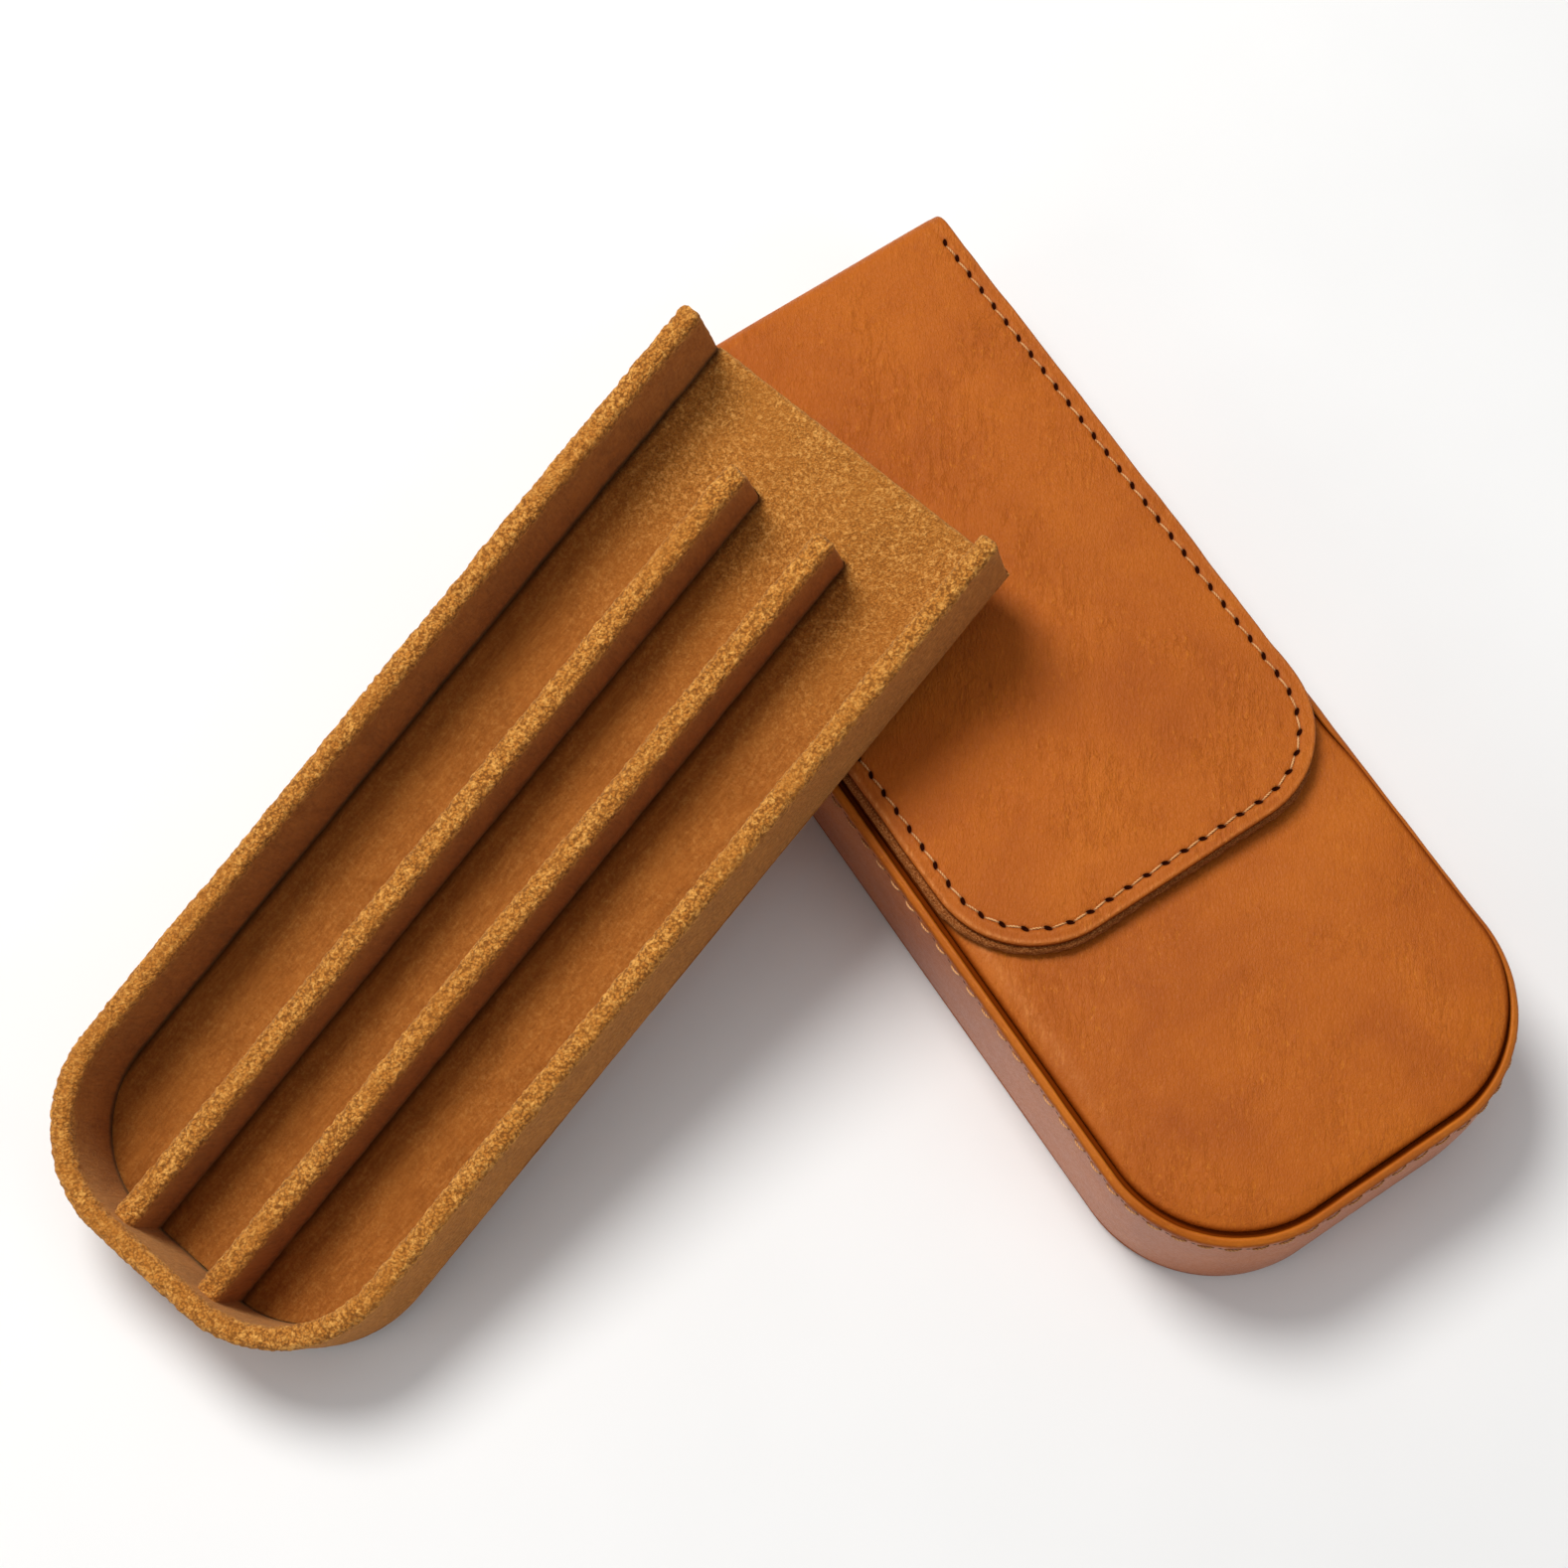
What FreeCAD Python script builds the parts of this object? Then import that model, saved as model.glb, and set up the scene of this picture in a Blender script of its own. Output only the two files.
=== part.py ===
import FreeCAD
import Part
import os
import math
import Sketcher

# Fountain pen case: flap-over leather box case with a suede pen tray that slides
# out of it. Row frame: origin in the middle of the case's back face, X across,
# Y towards the mouth, Z up through the flap. Millimetres.

os.makedirs("parts", exist_ok=True)
doc = FreeCAD.newDocument("PenCase")

# ---------------------------------------------------------------- dimensions
DIMS = [
    ("case_len", 176.0), ("case_wide", 74.5), ("case_deep", 27.0), ("foot_rad", 24.0),
    ("leather", 1.4), ("board", 1.0), ("lining", 0.6), ("slack", 0.05),
    ("band_inset", 0.35), ("pipe_rad", 1.1), ("pipe_inset", 1.3), ("panel_inset", 2.6),
    ("bend_rad", 3.4), ("mouth_back", 3.5),
    ("flap_wide", 69.5), ("flap_shift", 1.0), ("flap_front", 119.4), ("flap_rad", 18.0),
    ("flap_gap", 0.25), ("flap_lin", 1.4), ("stiff_inset", 6.0), ("stiff_deep", 0.8),
    ("magnet_dia", 12.0), ("magnet_up", 18.0),
    ("seam_inset", 2.6), ("thread", 0.5), ("seam_drop", 3.2),
    ("tray_len", 170.2), ("tray_wide", 64.4), ("tray_high", 20.4), ("tray_rad", 22.5),
    ("suede", 0.8), ("wall", 3.6), ("cap", 1.0), ("floor_core", 1.2),
    ("rib_wide", 4.0), ("rib_place", 9.0), ("rib_drop", 4.0), ("rib_back", 15.0),
    ("tray_x", -163.9), ("tray_y", 8.0), ("tray_z", 0.0), ("tray_yaw", -74.2), ("tray_tilt", 13.6),
]
sheet = doc.addObject("Spreadsheet::Sheet", "Dims")
for row, (alias, value) in enumerate(DIMS, start=1):
    sheet.set("A%d" % row, alias)
    sheet.set("B%d" % row, repr(value))
    sheet.setAlias("B%d" % row, alias)
doc.recompute()


class Num:
    """A size that carries its value and the sheet expression behind it."""

    def __init__(self, value, text):
        self.value = float(value)
        self.text = text

    def _other(self, other):
        return other if isinstance(other, Num) else Num(other, "%r" % float(other))

    def __add__(self, other):
        o = self._other(other)
        return Num(self.value + o.value, "(%s + %s)" % (self.text, o.text))

    def __sub__(self, other):
        o = self._other(other)
        return Num(self.value - o.value, "(%s - %s)" % (self.text, o.text))

    def __mul__(self, other):
        o = self._other(other)
        return Num(self.value * o.value, "(%s * %s)" % (self.text, o.text))

    def __neg__(self):
        return Num(-self.value, "(0 - %s)" % self.text)


D = {alias: Num(value, "Dims." + alias) for alias, value in DIMS}
ZERO = Num(0.0, "0")


# ------------------------------------------------------------------- helpers
def new_body(label):
    body = doc.addObject("PartDesign::Body", label)
    body.Label = label
    return body


def plane(body, role):
    return [f for f in body.Origin.OriginFeatures if f.Role == role][0]


def new_sketch(body, role, name, lift=None):
    sk = body.newObject("Sketcher::SketchObject", name)
    sk.AttachmentSupport = [(plane(body, role), "")]
    sk.MapMode = "FlatFace"
    if lift is not None:
        sk.AttachmentOffset = FreeCAD.Placement(FreeCAD.Vector(0, 0, lift.value), FreeCAD.Rotation())
        sk.setExpression("AttachmentOffset.Base.z", lift.text)
    return sk


def place_point(sk, geo, pos, x, y, tag):
    """Tie one point to the sketch origin by two named, sheet-driven distances."""
    for axis, q in (("X", x), ("Y", y)):
        if abs(q.value) < 1e-9:
            sk.addConstraint(Sketcher.Constraint("PointOnObject", geo, pos, -2 if axis == "X" else -1))
            continue
        if q.value > 0:
            i = sk.addConstraint(Sketcher.Constraint("Distance" + axis, -1, 1, geo, pos, q.value))
            text = q.text
        else:
            i = sk.addConstraint(Sketcher.Constraint("Distance" + axis, geo, pos, -1, 1, -q.value))
            text = "(0 - %s)" % q.text
        sk.renameConstraint(i, "%s%s" % (axis.lower() * 2, tag))
        sk.setExpression("Constraints.%s%s" % (axis.lower() * 2, tag), text)


def profile(sk, verts, arcs, closed=True):
    """verts: list of (x, y) sizes. arcs: {edge index: (radius, turn)} with turn
    +1 for an edge that bends anticlockwise and -1 for clockwise."""
    n = len(verts)
    edges = n if closed else n - 1
    heads, tails = [], []
    for i in range(edges):
        a, b = verts[i], verts[(i + 1) % n]
        p = FreeCAD.Vector(a[0].value, a[1].value, 0)
        q = FreeCAD.Vector(b[0].value, b[1].value, 0)
        if i in arcs:
            rad, turn = arcs[i]
            mid = (p + q) * 0.5
            half = (q - p).Length * 0.5
            rise = math.sqrt(max(rad.value ** 2 - half ** 2, 0.0))
            d = (q - p).normalize()
            side = FreeCAD.Vector(-d.y, d.x, 0) * turn
            centre = mid + side * rise
            a0 = math.atan2(p.y - centre.y, p.x - centre.x)
            a1 = math.atan2(q.y - centre.y, q.x - centre.x)
            if turn < 0:
                a0, a1 = a1, a0
            while a1 <= a0:
                a1 += 2 * math.pi
            geo = sk.addGeometry(Part.ArcOfCircle(Part.Circle(centre, FreeCAD.Vector(0, 0, 1), rad.value), a0, a1), False)
            head, tail = (1, 2) if turn > 0 else (2, 1)
        else:
            geo = sk.addGeometry(Part.LineSegment(p, q), False)
            head, tail = 1, 2
        heads.append((geo, head))
        tails.append((geo, tail))
    for i in range(edges):
        place_point(sk, heads[i][0], heads[i][1], verts[i][0], verts[i][1], "v%d" % i)
        if closed or i < edges - 1:
            nxt = heads[(i + 1) % edges]
            sk.addConstraint(Sketcher.Constraint("Coincident", tails[i][0], tails[i][1], nxt[0], nxt[1]))
    if not closed:
        place_point(sk, tails[-1][0], tails[-1][1], verts[-1][0], verts[-1][1], "v%d" % (n - 1))
    for i, (rad, turn) in arcs.items():
        c = sk.addConstraint(Sketcher.Constraint("Radius", heads[i][0], rad.value))
        sk.renameConstraint(c, "rad%d" % i)
        sk.setExpression("Constraints.rad%d" % i, rad.text)


def u_shape(sk, xl, xr, top, foot, rad):
    """A panel outline: straight at the top, two rounded corners at the foot."""
    profile(sk, [(xl, top), (xl, foot + rad), (xl + rad, foot), (xr - rad, foot),
                 (xr, foot + rad), (xr, top)], {1: (rad, 1), 3: (rad, 1)})


def u_ring(sk, xl, xr, top, foot, rad, thick):
    """A U-shaped wall of even thickness, open at the top."""
    r2 = rad - thick
    il, ir, ifoot = xl + thick, xr - thick, foot + thick
    profile(sk, [(xl, top), (xl, foot + rad), (xl + rad, foot), (xr - rad, foot), (xr, foot + rad), (xr, top),
                 (ir, top), (ir, ifoot + r2), (ir - r2, ifoot), (il + r2, ifoot), (il, ifoot + r2), (il, top)],
            {1: (rad, 1), 3: (rad, 1), 7: (r2, -1), 9: (r2, -1)})


def pad(body, sk, name, length, both=False):
    f = body.newObject("PartDesign::Pad", name)
    f.Profile = sk
    f.Length = length.value
    f.setExpression("Length", length.text)
    f.Midplane = both
    body.Tip = f
    doc.recompute()
    return f


def pocket(body, sk, name, depth, flip=False):
    """Cut downwards from the sketch, or upwards when flip is set; the volume proves it."""
    before = body.Shape.Volume
    f = body.newObject("PartDesign::Pocket", name)
    f.Profile = sk
    f.Length = depth.value
    f.setExpression("Length", depth.text)
    f.Reversed = flip
    body.Tip = f
    doc.recompute()
    if not body.Shape.Volume < before - 1e-6:
        raise RuntimeError("pocket %s removed nothing" % name)
    return f


def plate(label, xl, xr, top, foot, rad, z, thick):
    body = new_body(label)
    sk = new_sketch(body, "XY_Plane", label + "_outline", z)
    u_shape(sk, xl, xr, top, foot, rad)
    pad(body, sk, label + "_pad", thick)
    return body


def ring(label, xl, xr, top, foot, rad, wall, z, height):
    body = new_body(label)
    sk = new_sketch(body, "XY_Plane", label + "_outline", z)
    u_ring(sk, xl, xr, top, foot, rad, wall)
    pad(body, sk, label + "_pad", height)
    return body


def disc_sketch(body, name, z, x, y, dia):
    sk = new_sketch(body, "XY_Plane", name, z)
    g = sk.addGeometry(Part.Circle(FreeCAD.Vector(x.value, y.value, 0), FreeCAD.Vector(0, 0, 1), dia.value / 2), False)
    place_point(sk, g, 3, x, y, "c")
    c = sk.addConstraint(Sketcher.Constraint("Diameter", g, dia.value))
    sk.renameConstraint(c, "dia")
    sk.setExpression("Constraints.dia", dia.text)
    return sk


# ---------------------------------------------------------- shared positions
HALF = D["case_wide"] * 0.5
HEAD = D["case_len"] * 0.5            # outer face of the folded end
FOOT = -(D["case_len"] * 0.5)
MOUTH = HEAD - D["mouth_back"]        # where the box's walls and panels stop
TOP = D["case_deep"]
G = D["slack"]
LTH, BRD, LIN = D["leather"], D["board"], D["lining"]

band0 = D["band_inset"]
band1 = band0 + LTH + G               # board ring starts
band2 = band1 + BRD + G               # lining ring starts
band3 = band2 + LIN                   # bay wall
floor_in = band3 + 0.1

BEND = D["bend_rad"]
BIN = BEND - LTH
low_y, low_z = HEAD - BEND, BEND      # centre of the lower fold
flap_under = TOP + D["flap_gap"]
flap_skin = flap_under + D["flap_lin"] + G
flap_top = flap_skin + LTH
up_y, up_z = HEAD - BEND, flap_top - BEND
C45 = math.sqrt(0.5)
FXL = D["flap_shift"] - D["flap_wide"] * 0.5
FXR = D["flap_shift"] + D["flap_wide"] * 0.5
TIP = HEAD - D["flap_front"]


def fold_sector(body, name, cy, cz, start, end, both_len):
    """Part of a leather fold: a ring sector about (cy, cz) on the YZ plane."""
    sk = new_sketch(body, "YZ_Plane", name + "_section", D["flap_shift"])
    cs, ss = math.cos(math.radians(start)), math.sin(math.radians(start))
    ce, se = math.cos(math.radians(end)), math.sin(math.radians(end))
    profile(sk, [(cy + BEND * cs, cz + BEND * ss), (cy + BEND * ce, cz + BEND * se),
                 (cy + BIN * ce, cz + BIN * se), (cy + BIN * cs, cz + BIN * ss)],
            {0: (BEND, 1), 2: (BIN, -1)})
    return pad(body, sk, name, both_len, both=True)


# ------------------------------------------------------------------ the case
# back panel with the first half of the lower fold
back = plate("back_leather", -HALF, HALF, low_y, FOOT, D["foot_rad"], ZERO, LTH)
fold_sector(back, "back_fold", low_y, low_z, -90.0, -45.5, D["flap_wide"])

plate("back_board", -(HALF - floor_in), HALF - floor_in, MOUTH, FOOT + floor_in, D["foot_rad"] - floor_in, LTH + G, BRD)
plate("back_lining", -(HALF - floor_in), HALF - floor_in, MOUTH, FOOT + floor_in, D["foot_rad"] - floor_in,
      LTH + G + BRD + G, LIN)

wall_z = LTH + G
band_leather_top = TOP - D["pipe_rad"] * 2.0 - G
panel_low = TOP - LTH - G - BRD - G - LIN
ring("side_band_leather", -(HALF - band0), HALF - band0, MOUTH, FOOT + band0, D["foot_rad"] - band0, LTH,
     wall_z, band_leather_top - wall_z)
ring("side_band_board", -(HALF - band1), HALF - band1, MOUTH, FOOT + band1, D["foot_rad"] - band1, BRD,
     wall_z, panel_low - G - wall_z)
ring("side_band_lining", -(HALF - band2), HALF - band2, MOUTH, FOOT + band2, D["foot_rad"] - band2, LIN,
     wall_z, panel_low - G - wall_z)

pin = D["panel_inset"]
plate("front_leather", -(HALF - pin), HALF - pin, MOUTH, FOOT + pin, D["foot_rad"] - pin, TOP - LTH, LTH)
front_board = plate("front_board", -(HALF - pin), HALF - pin, MOUTH, FOOT + pin, D["foot_rad"] - pin,
                    TOP - LTH - G - BRD, BRD)
mag_x, mag_y = D["flap_shift"], TIP + D["magnet_up"]
hole = disc_sketch(front_board, "front_board_magnet_seat", TOP - LTH - G, mag_x, mag_y, D["magnet_dia"] + 0.2)
pocket(front_board, hole, "front_board_seat_cut", BRD + 0.1)
plate("front_lining", -(HALF - pin), HALF - pin, MOUTH, FOOT + pin, D["foot_rad"] - pin, panel_low, LIN)

front_magnet = new_body("front_magnet")
sk = disc_sketch(front_magnet, "front_magnet_disc", TOP - LTH - BRD, mag_x, mag_y, D["magnet_dia"])
pad(front_magnet, sk, "front_magnet_pad", BRD - G * 2.0)

# rolled piping round the front edge
piping = new_body("front_piping")
pi = D["pipe_inset"]
pz = TOP - D["pipe_rad"]
path = new_sketch(piping, "XY_Plane", "piping_path", pz)
xl, xr, ft, rr = -(HALF - pi), HALF - pi, FOOT + pi, D["foot_rad"] - pi
profile(path, [(xl, MOUTH), (xl, ft + rr), (xl + rr, ft), (xr - rr, ft), (xr, ft + rr), (xr, MOUTH)],
        {1: (rr, 1), 3: (rr, 1)}, closed=False)
sec = new_sketch(piping, "XZ_Plane", "piping_section", -MOUTH)
g = sec.addGeometry(Part.Circle(FreeCAD.Vector(xl.value, pz.value, 0), FreeCAD.Vector(0, 0, 1), D["pipe_rad"].value), False)
place_point(sec, g, 3, xl, pz, "c")
c = sec.addConstraint(Sketcher.Constraint("Radius", g, D["pipe_rad"].value))
sec.renameConstraint(c, "prad")
sec.setExpression("Constraints.prad", D["pipe_rad"].text)
doc.recompute()
pipe = piping.newObject("PartDesign::AdditivePipe", "piping_sweep")
pipe.Profile = sec
pipe.Spine = path
piping.Tip = pipe
doc.recompute()

# thread run round the side band, just under the piping
th = D["thread"]
out = band0 - th - 0.02
ring("side_band_stitching", -(HALF - out), HALF - out, MOUTH - 3.0, FOOT + out, D["foot_rad"] - out, th,
     TOP - D["seam_drop"], th)

# ---------------------------------------------------------------- the spine
spine = new_body("spine_leather")
sk = new_sketch(spine, "YZ_Plane", "spine_section", D["flap_shift"])
a = math.radians(44.5)
ca, sa = math.cos(a), math.sin(a)
profile(sk, [(low_y + BEND * ca, low_z - BEND * sa), (HEAD, low_z), (HEAD, up_z),
             (up_y + BEND * ca, up_z + BEND * sa), (up_y + BIN * ca, up_z + BIN * sa),
             (up_y + BIN, up_z), (low_y + BIN, low_z), (low_y + BIN * ca, low_z - BIN * sa)],
        {0: (BEND, 1), 2: (BEND, 1), 4: (BIN, -1), 6: (BIN, -1)})
pad(spine, sk, "spine_pad", D["flap_wide"], both=True)

spine_lining = new_body("spine_lining")
sk = new_sketch(spine_lining, "XY_Plane", "spine_lining_outline", low_z + 0.1)
y1 = HEAD - LTH - G
y0 = y1 - LIN
profile(sk, [(FXL, y0), (FXR, y0), (FXR, y1), (FXL, y1)], {})
pad(spine_lining, sk, "spine_lining_pad", up_z - low_z - 0.2)

# ----------------------------------------------------------------- the flap
flap = plate("flap_leather", FXL, FXR, up_y, TIP, D["flap_rad"], flap_skin, LTH)
fold_sector(flap, "flap_fold", up_y, up_z, 45.5, 90.0, D["flap_wide"])

si = D["stiff_inset"]
flap_lining = plate("flap_lining", FXL, FXR, MOUTH, TIP, D["flap_rad"], flap_under, D["flap_lin"])
sk = new_sketch(flap_lining, "XY_Plane", "stiffener_seat", flap_under + D["flap_lin"])
u_shape(sk, FXL + si - G, FXR - si + G, MOUTH - 5.0 + G, TIP + si - G, D["flap_rad"] - si + G)
pocket(flap_lining, sk, "stiffener_seat_cut", D["stiff_deep"] + G)

stiff = plate("flap_stiffener", FXL + si, FXR - si, MOUTH - 5.0, TIP + si, D["flap_rad"] - si,
              flap_under + D["flap_lin"] - D["stiff_deep"], D["stiff_deep"])
hole = disc_sketch(stiff, "flap_magnet_seat", flap_under + D["flap_lin"], mag_x, mag_y, D["magnet_dia"] + 0.2)
pocket(stiff, hole, "flap_magnet_seat_cut", D["stiff_deep"] + 0.1)

flap_magnet = new_body("flap_magnet")
sk = disc_sketch(flap_magnet, "flap_magnet_disc", flap_under + D["flap_lin"] - D["stiff_deep"], mag_x, mag_y, D["magnet_dia"])
pad(flap_magnet, sk, "flap_magnet_pad", D["stiff_deep"])

se = D["seam_inset"]
ring("flap_stitching", FXL + se, FXR - se, MOUTH - 1.0, TIP + se, D["flap_rad"] - se, th, flap_top + 0.02, th)

# ----------------------------------------------------------------- the tray
# Built in the tray's own frame (foot at the origin, open end along +Y), then
# leaned against the case.
TW = D["tray_wide"] * 0.5
TL, THG, TR = D["tray_len"], D["tray_high"], D["tray_rad"]
SU = D["suede"]
WL = D["wall"]
tray = []
tray.append(plate("tray_base_suede", -TW, TW, TL, ZERO, TR, ZERO, SU))

wall_suede = ring("tray_wall_suede", -TW, TW, TL, ZERO, TR, WL, SU + G, THG - SU - G)
sk = new_sketch(wall_suede, "XY_Plane", "wall_core_seat", SU + G)
u_ring(sk, -(TW - SU), TW - SU, TL - SU, SU, TR - SU, WL - SU * 2.0)
pocket(wall_suede, sk, "wall_core_cut", THG - SU - G - D["cap"], flip=True)
tray.append(wall_suede)

ci = SU + G
tray.append(ring("tray_wall_board", -(TW - ci), TW - ci, TL - ci, ci, TR - ci, WL - ci * 2.0,
                 SU + G, THG - SU - G - D["cap"] - G))

fi = WL + G
tray.append(plate("tray_floor_board", -(TW - fi), TW - fi, TL - 0.2, fi, TR - fi, SU + G, D["floor_core"]))
floor_low = SU + G + D["floor_core"] + G
tray.append(plate("tray_floor_suede", -(TW - fi), TW - fi, TL, fi, TR - fi, floor_low, SU))

rib_low = floor_low + SU + G
rib_top = THG - D["rib_drop"]
rib_y0, rib_y1 = WL + 0.2, TL - D["rib_back"]
for side, name in ((-1.0, "left"), (1.0, "right")):
    x0 = D["rib_place"] * side - D["rib_wide"] * 0.5
    x1 = D["rib_place"] * side + D["rib_wide"] * 0.5
    b = new_body("divider_%s_suede" % name)
    sk = new_sketch(b, "XY_Plane", "divider_%s_outline" % name, rib_low)
    profile(sk, [(x0, rib_y0), (x1, rib_y0), (x1, rib_y1), (x0, rib_y1)], {})
    pad(b, sk, "divider_%s_pad" % name, rib_top - rib_low)
    sk = new_sketch(b, "XY_Plane", "divider_%s_seat" % name, rib_low)
    profile(sk, [(x0 + SU, rib_y0 + SU), (x1 - SU, rib_y0 + SU), (x1 - SU, rib_y1 - SU), (x0 + SU, rib_y1 - SU)], {})
    pocket(b, sk, "divider_%s_seat_cut" % name, rib_top - rib_low - D["cap"], flip=True)
    tray.append(b)
    b = new_body("divider_%s_core" % name)
    sk = new_sketch(b, "XY_Plane", "divider_%s_core_outline" % name, rib_low)
    profile(sk, [(x0 + ci, rib_y0 + ci), (x1 - ci, rib_y0 + ci), (x1 - ci, rib_y1 - ci), (x0 + ci, rib_y1 - ci)], {})
    pad(b, sk, "divider_%s_core_pad" % name, rib_top - rib_low - D["cap"] - G)
    tray.append(b)

turn = FreeCAD.Rotation(FreeCAD.Vector(0, 0, 1), D["tray_yaw"].value).multiply(
    FreeCAD.Rotation(FreeCAD.Vector(1, 0, 0), D["tray_tilt"].value))
for body in tray:
    body.Placement = FreeCAD.Placement(
        FreeCAD.Vector(D["tray_x"].value, D["tray_y"].value, D["tray_z"].value), turn)
    for axis in "xyz":
        body.setExpression("Placement.Base." + axis, "Dims.tray_" + axis)

# -------------------------------------------------------------------- output
doc.recompute()
NODES = [o for o in doc.Objects if o.TypeId == "PartDesign::Body"]
for obj in doc.Objects:
    state = [s for s in obj.State if s in ("Invalid", "Error")]
    if state:
        raise RuntimeError("%s is %s" % (obj.Name, state))
for node in NODES:
    if node.Shape.isNull() or not node.Shape.isValid() or len(node.Shape.Solids) < 1:
        raise RuntimeError("%s has no valid solid" % node.Label)
    node.Shape.exportStep("parts/%s.step" % node.Label)
    print("%-24s solids %d volume %.1f" % (node.Label, len(node.Shape.Solids), node.Shape.Volume))
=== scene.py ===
import math

import bmesh
import bpy
import numpy as np
from mathutils import Matrix, Vector


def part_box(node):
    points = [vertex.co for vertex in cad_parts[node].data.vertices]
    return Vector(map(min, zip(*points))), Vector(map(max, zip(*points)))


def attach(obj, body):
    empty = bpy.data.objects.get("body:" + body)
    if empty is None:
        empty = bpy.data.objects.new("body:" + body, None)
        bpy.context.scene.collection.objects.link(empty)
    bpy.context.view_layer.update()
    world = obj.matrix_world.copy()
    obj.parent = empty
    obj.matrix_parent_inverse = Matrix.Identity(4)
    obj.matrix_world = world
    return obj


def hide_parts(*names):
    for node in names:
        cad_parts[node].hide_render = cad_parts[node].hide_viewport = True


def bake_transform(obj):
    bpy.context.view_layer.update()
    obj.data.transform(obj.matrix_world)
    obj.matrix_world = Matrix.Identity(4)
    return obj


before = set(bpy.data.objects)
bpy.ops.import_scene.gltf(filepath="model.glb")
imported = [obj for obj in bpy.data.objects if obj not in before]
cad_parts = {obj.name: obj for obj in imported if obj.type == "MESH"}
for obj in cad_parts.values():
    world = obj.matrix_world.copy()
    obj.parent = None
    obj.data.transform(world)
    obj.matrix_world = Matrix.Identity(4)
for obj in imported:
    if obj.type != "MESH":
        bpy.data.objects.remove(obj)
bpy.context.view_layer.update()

MM = 0.001


# ------------------------------------------------------------ sizes from the frame
def mm_box(node):
    lo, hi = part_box(node)
    return np.array(lo) / MM, np.array(hi) / MM


BACK_LO, BACK_HI = mm_box("back_leather")
BAND_LO, BAND_HI = mm_box("side_band_leather")
FRONT_LO, FRONT_HI = mm_box("front_leather")
PIPE_LO, PIPE_HI = mm_box("front_piping")
FLAP_LO, FLAP_HI = mm_box("flap_leather")
FLIN_LO, FLIN_HI = mm_box("flap_lining")
SPINE_LO, SPINE_HI = mm_box("spine_leather")
SLIN_LO, SLIN_HI = mm_box("spine_lining")
BLIN_LO, BLIN_HI = mm_box("back_lining")
SBL_LO, SBL_HI = mm_box("side_band_lining")
FRL_LO, FRL_HI = mm_box("front_lining")
MAG_LO, MAG_HI = mm_box("flap_magnet")

LTH = 1.4                                   # leather thickness
BEND = 3.4                                  # outer radius of both folds
FOLD_Y = SPINE_HI[1] - BEND                 # 84.6, where both folds start
LOW_Z = BEND                                # centre of the lower fold
UP_Z = FLAP_HI[2] - BEND                    # centre of the upper fold, 26.7
R_MID = BEND - LTH / 2
SPLIT_Z = 15.05                             # middle of the spine
FXL, FXR = SPINE_LO[0], SPINE_HI[0]         # flap and spine sides
TIP = FLIN_LO[1]                            # flap tip
SEAM_IN = 2.6                               # flap seam, in from the edge
FLAP_PITCH = 3.65
BAND_PITCH = 4.2
MOUTH = FRONT_HI[1]                         # 84.5
GRAIN_TURN = math.radians(33.5)             # the hide's creases run askew to the case

# tray: its own frame, then leaned
TRAY_M = (Matrix.Translation(Vector((-163.9, 8.0, 0.0)))
          @ Matrix.Rotation(math.radians(-74.2), 4, "Z")
          @ Matrix.Rotation(math.radians(13.6), 4, "X"))
TRAY_R = np.array(TRAY_M)[:3, :3]
TRAY_T = np.array(TRAY_M)[:3, 3]
TL, TW, TH, TR, WALL = 170.2, 32.2, 20.4, 22.5, 3.6


def tray_place(co):
    return co @ TRAY_R.T + TRAY_T


# ------------------------------------------------------------------ numpy noise
def _hash(ix, iy, iz, seed):
    h = (ix.astype(np.int64) * 374761393 + iy.astype(np.int64) * 668265263
         + iz.astype(np.int64) * 2246822519 + seed * 3266489917) & 0xFFFFFFFF
    h = ((h ^ (h >> 13)) * 1274126177) & 0xFFFFFFFF
    h = ((h ^ (h >> 16)) * 2654435761) & 0xFFFFFFFF
    return ((h ^ (h >> 15)) & 0xFFFFFF) / float(0xFFFFFF)


def vnoise(p, seed=0):
    """Smooth value noise in [-1, 1]; p is (n, 3) in cells."""
    i = np.floor(p)
    f = p - i
    f = f * f * f * (f * (f * 6 - 15) + 10)
    i = i.astype(np.int64)
    out = 0.0
    for dx in (0, 1):
        wx = f[:, 0] if dx else 1 - f[:, 0]
        for dy in (0, 1):
            wy = f[:, 1] if dy else 1 - f[:, 1]
            for dz in (0, 1):
                wz = f[:, 2] if dz else 1 - f[:, 2]
                out = out + wx * wy * wz * _hash(i[:, 0] + dx, i[:, 1] + dy, i[:, 2] + dz, seed)
    return out * 2 - 1


def fbm(p, size, octaves=2, seed=0):
    """size: the biggest feature, in the units of p."""
    total, amp, s = 0.0, 1.0, float(size)
    for o in range(octaves):
        total = total + amp * vnoise(p / s + 17.3 * o, seed + o)
        amp *= 0.5
        s *= 0.5
    return total


def smooth(a, b, x):
    t = np.clip((x - a) / (b - a), 0, 1)
    return t * t * (3 - 2 * t)


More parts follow.
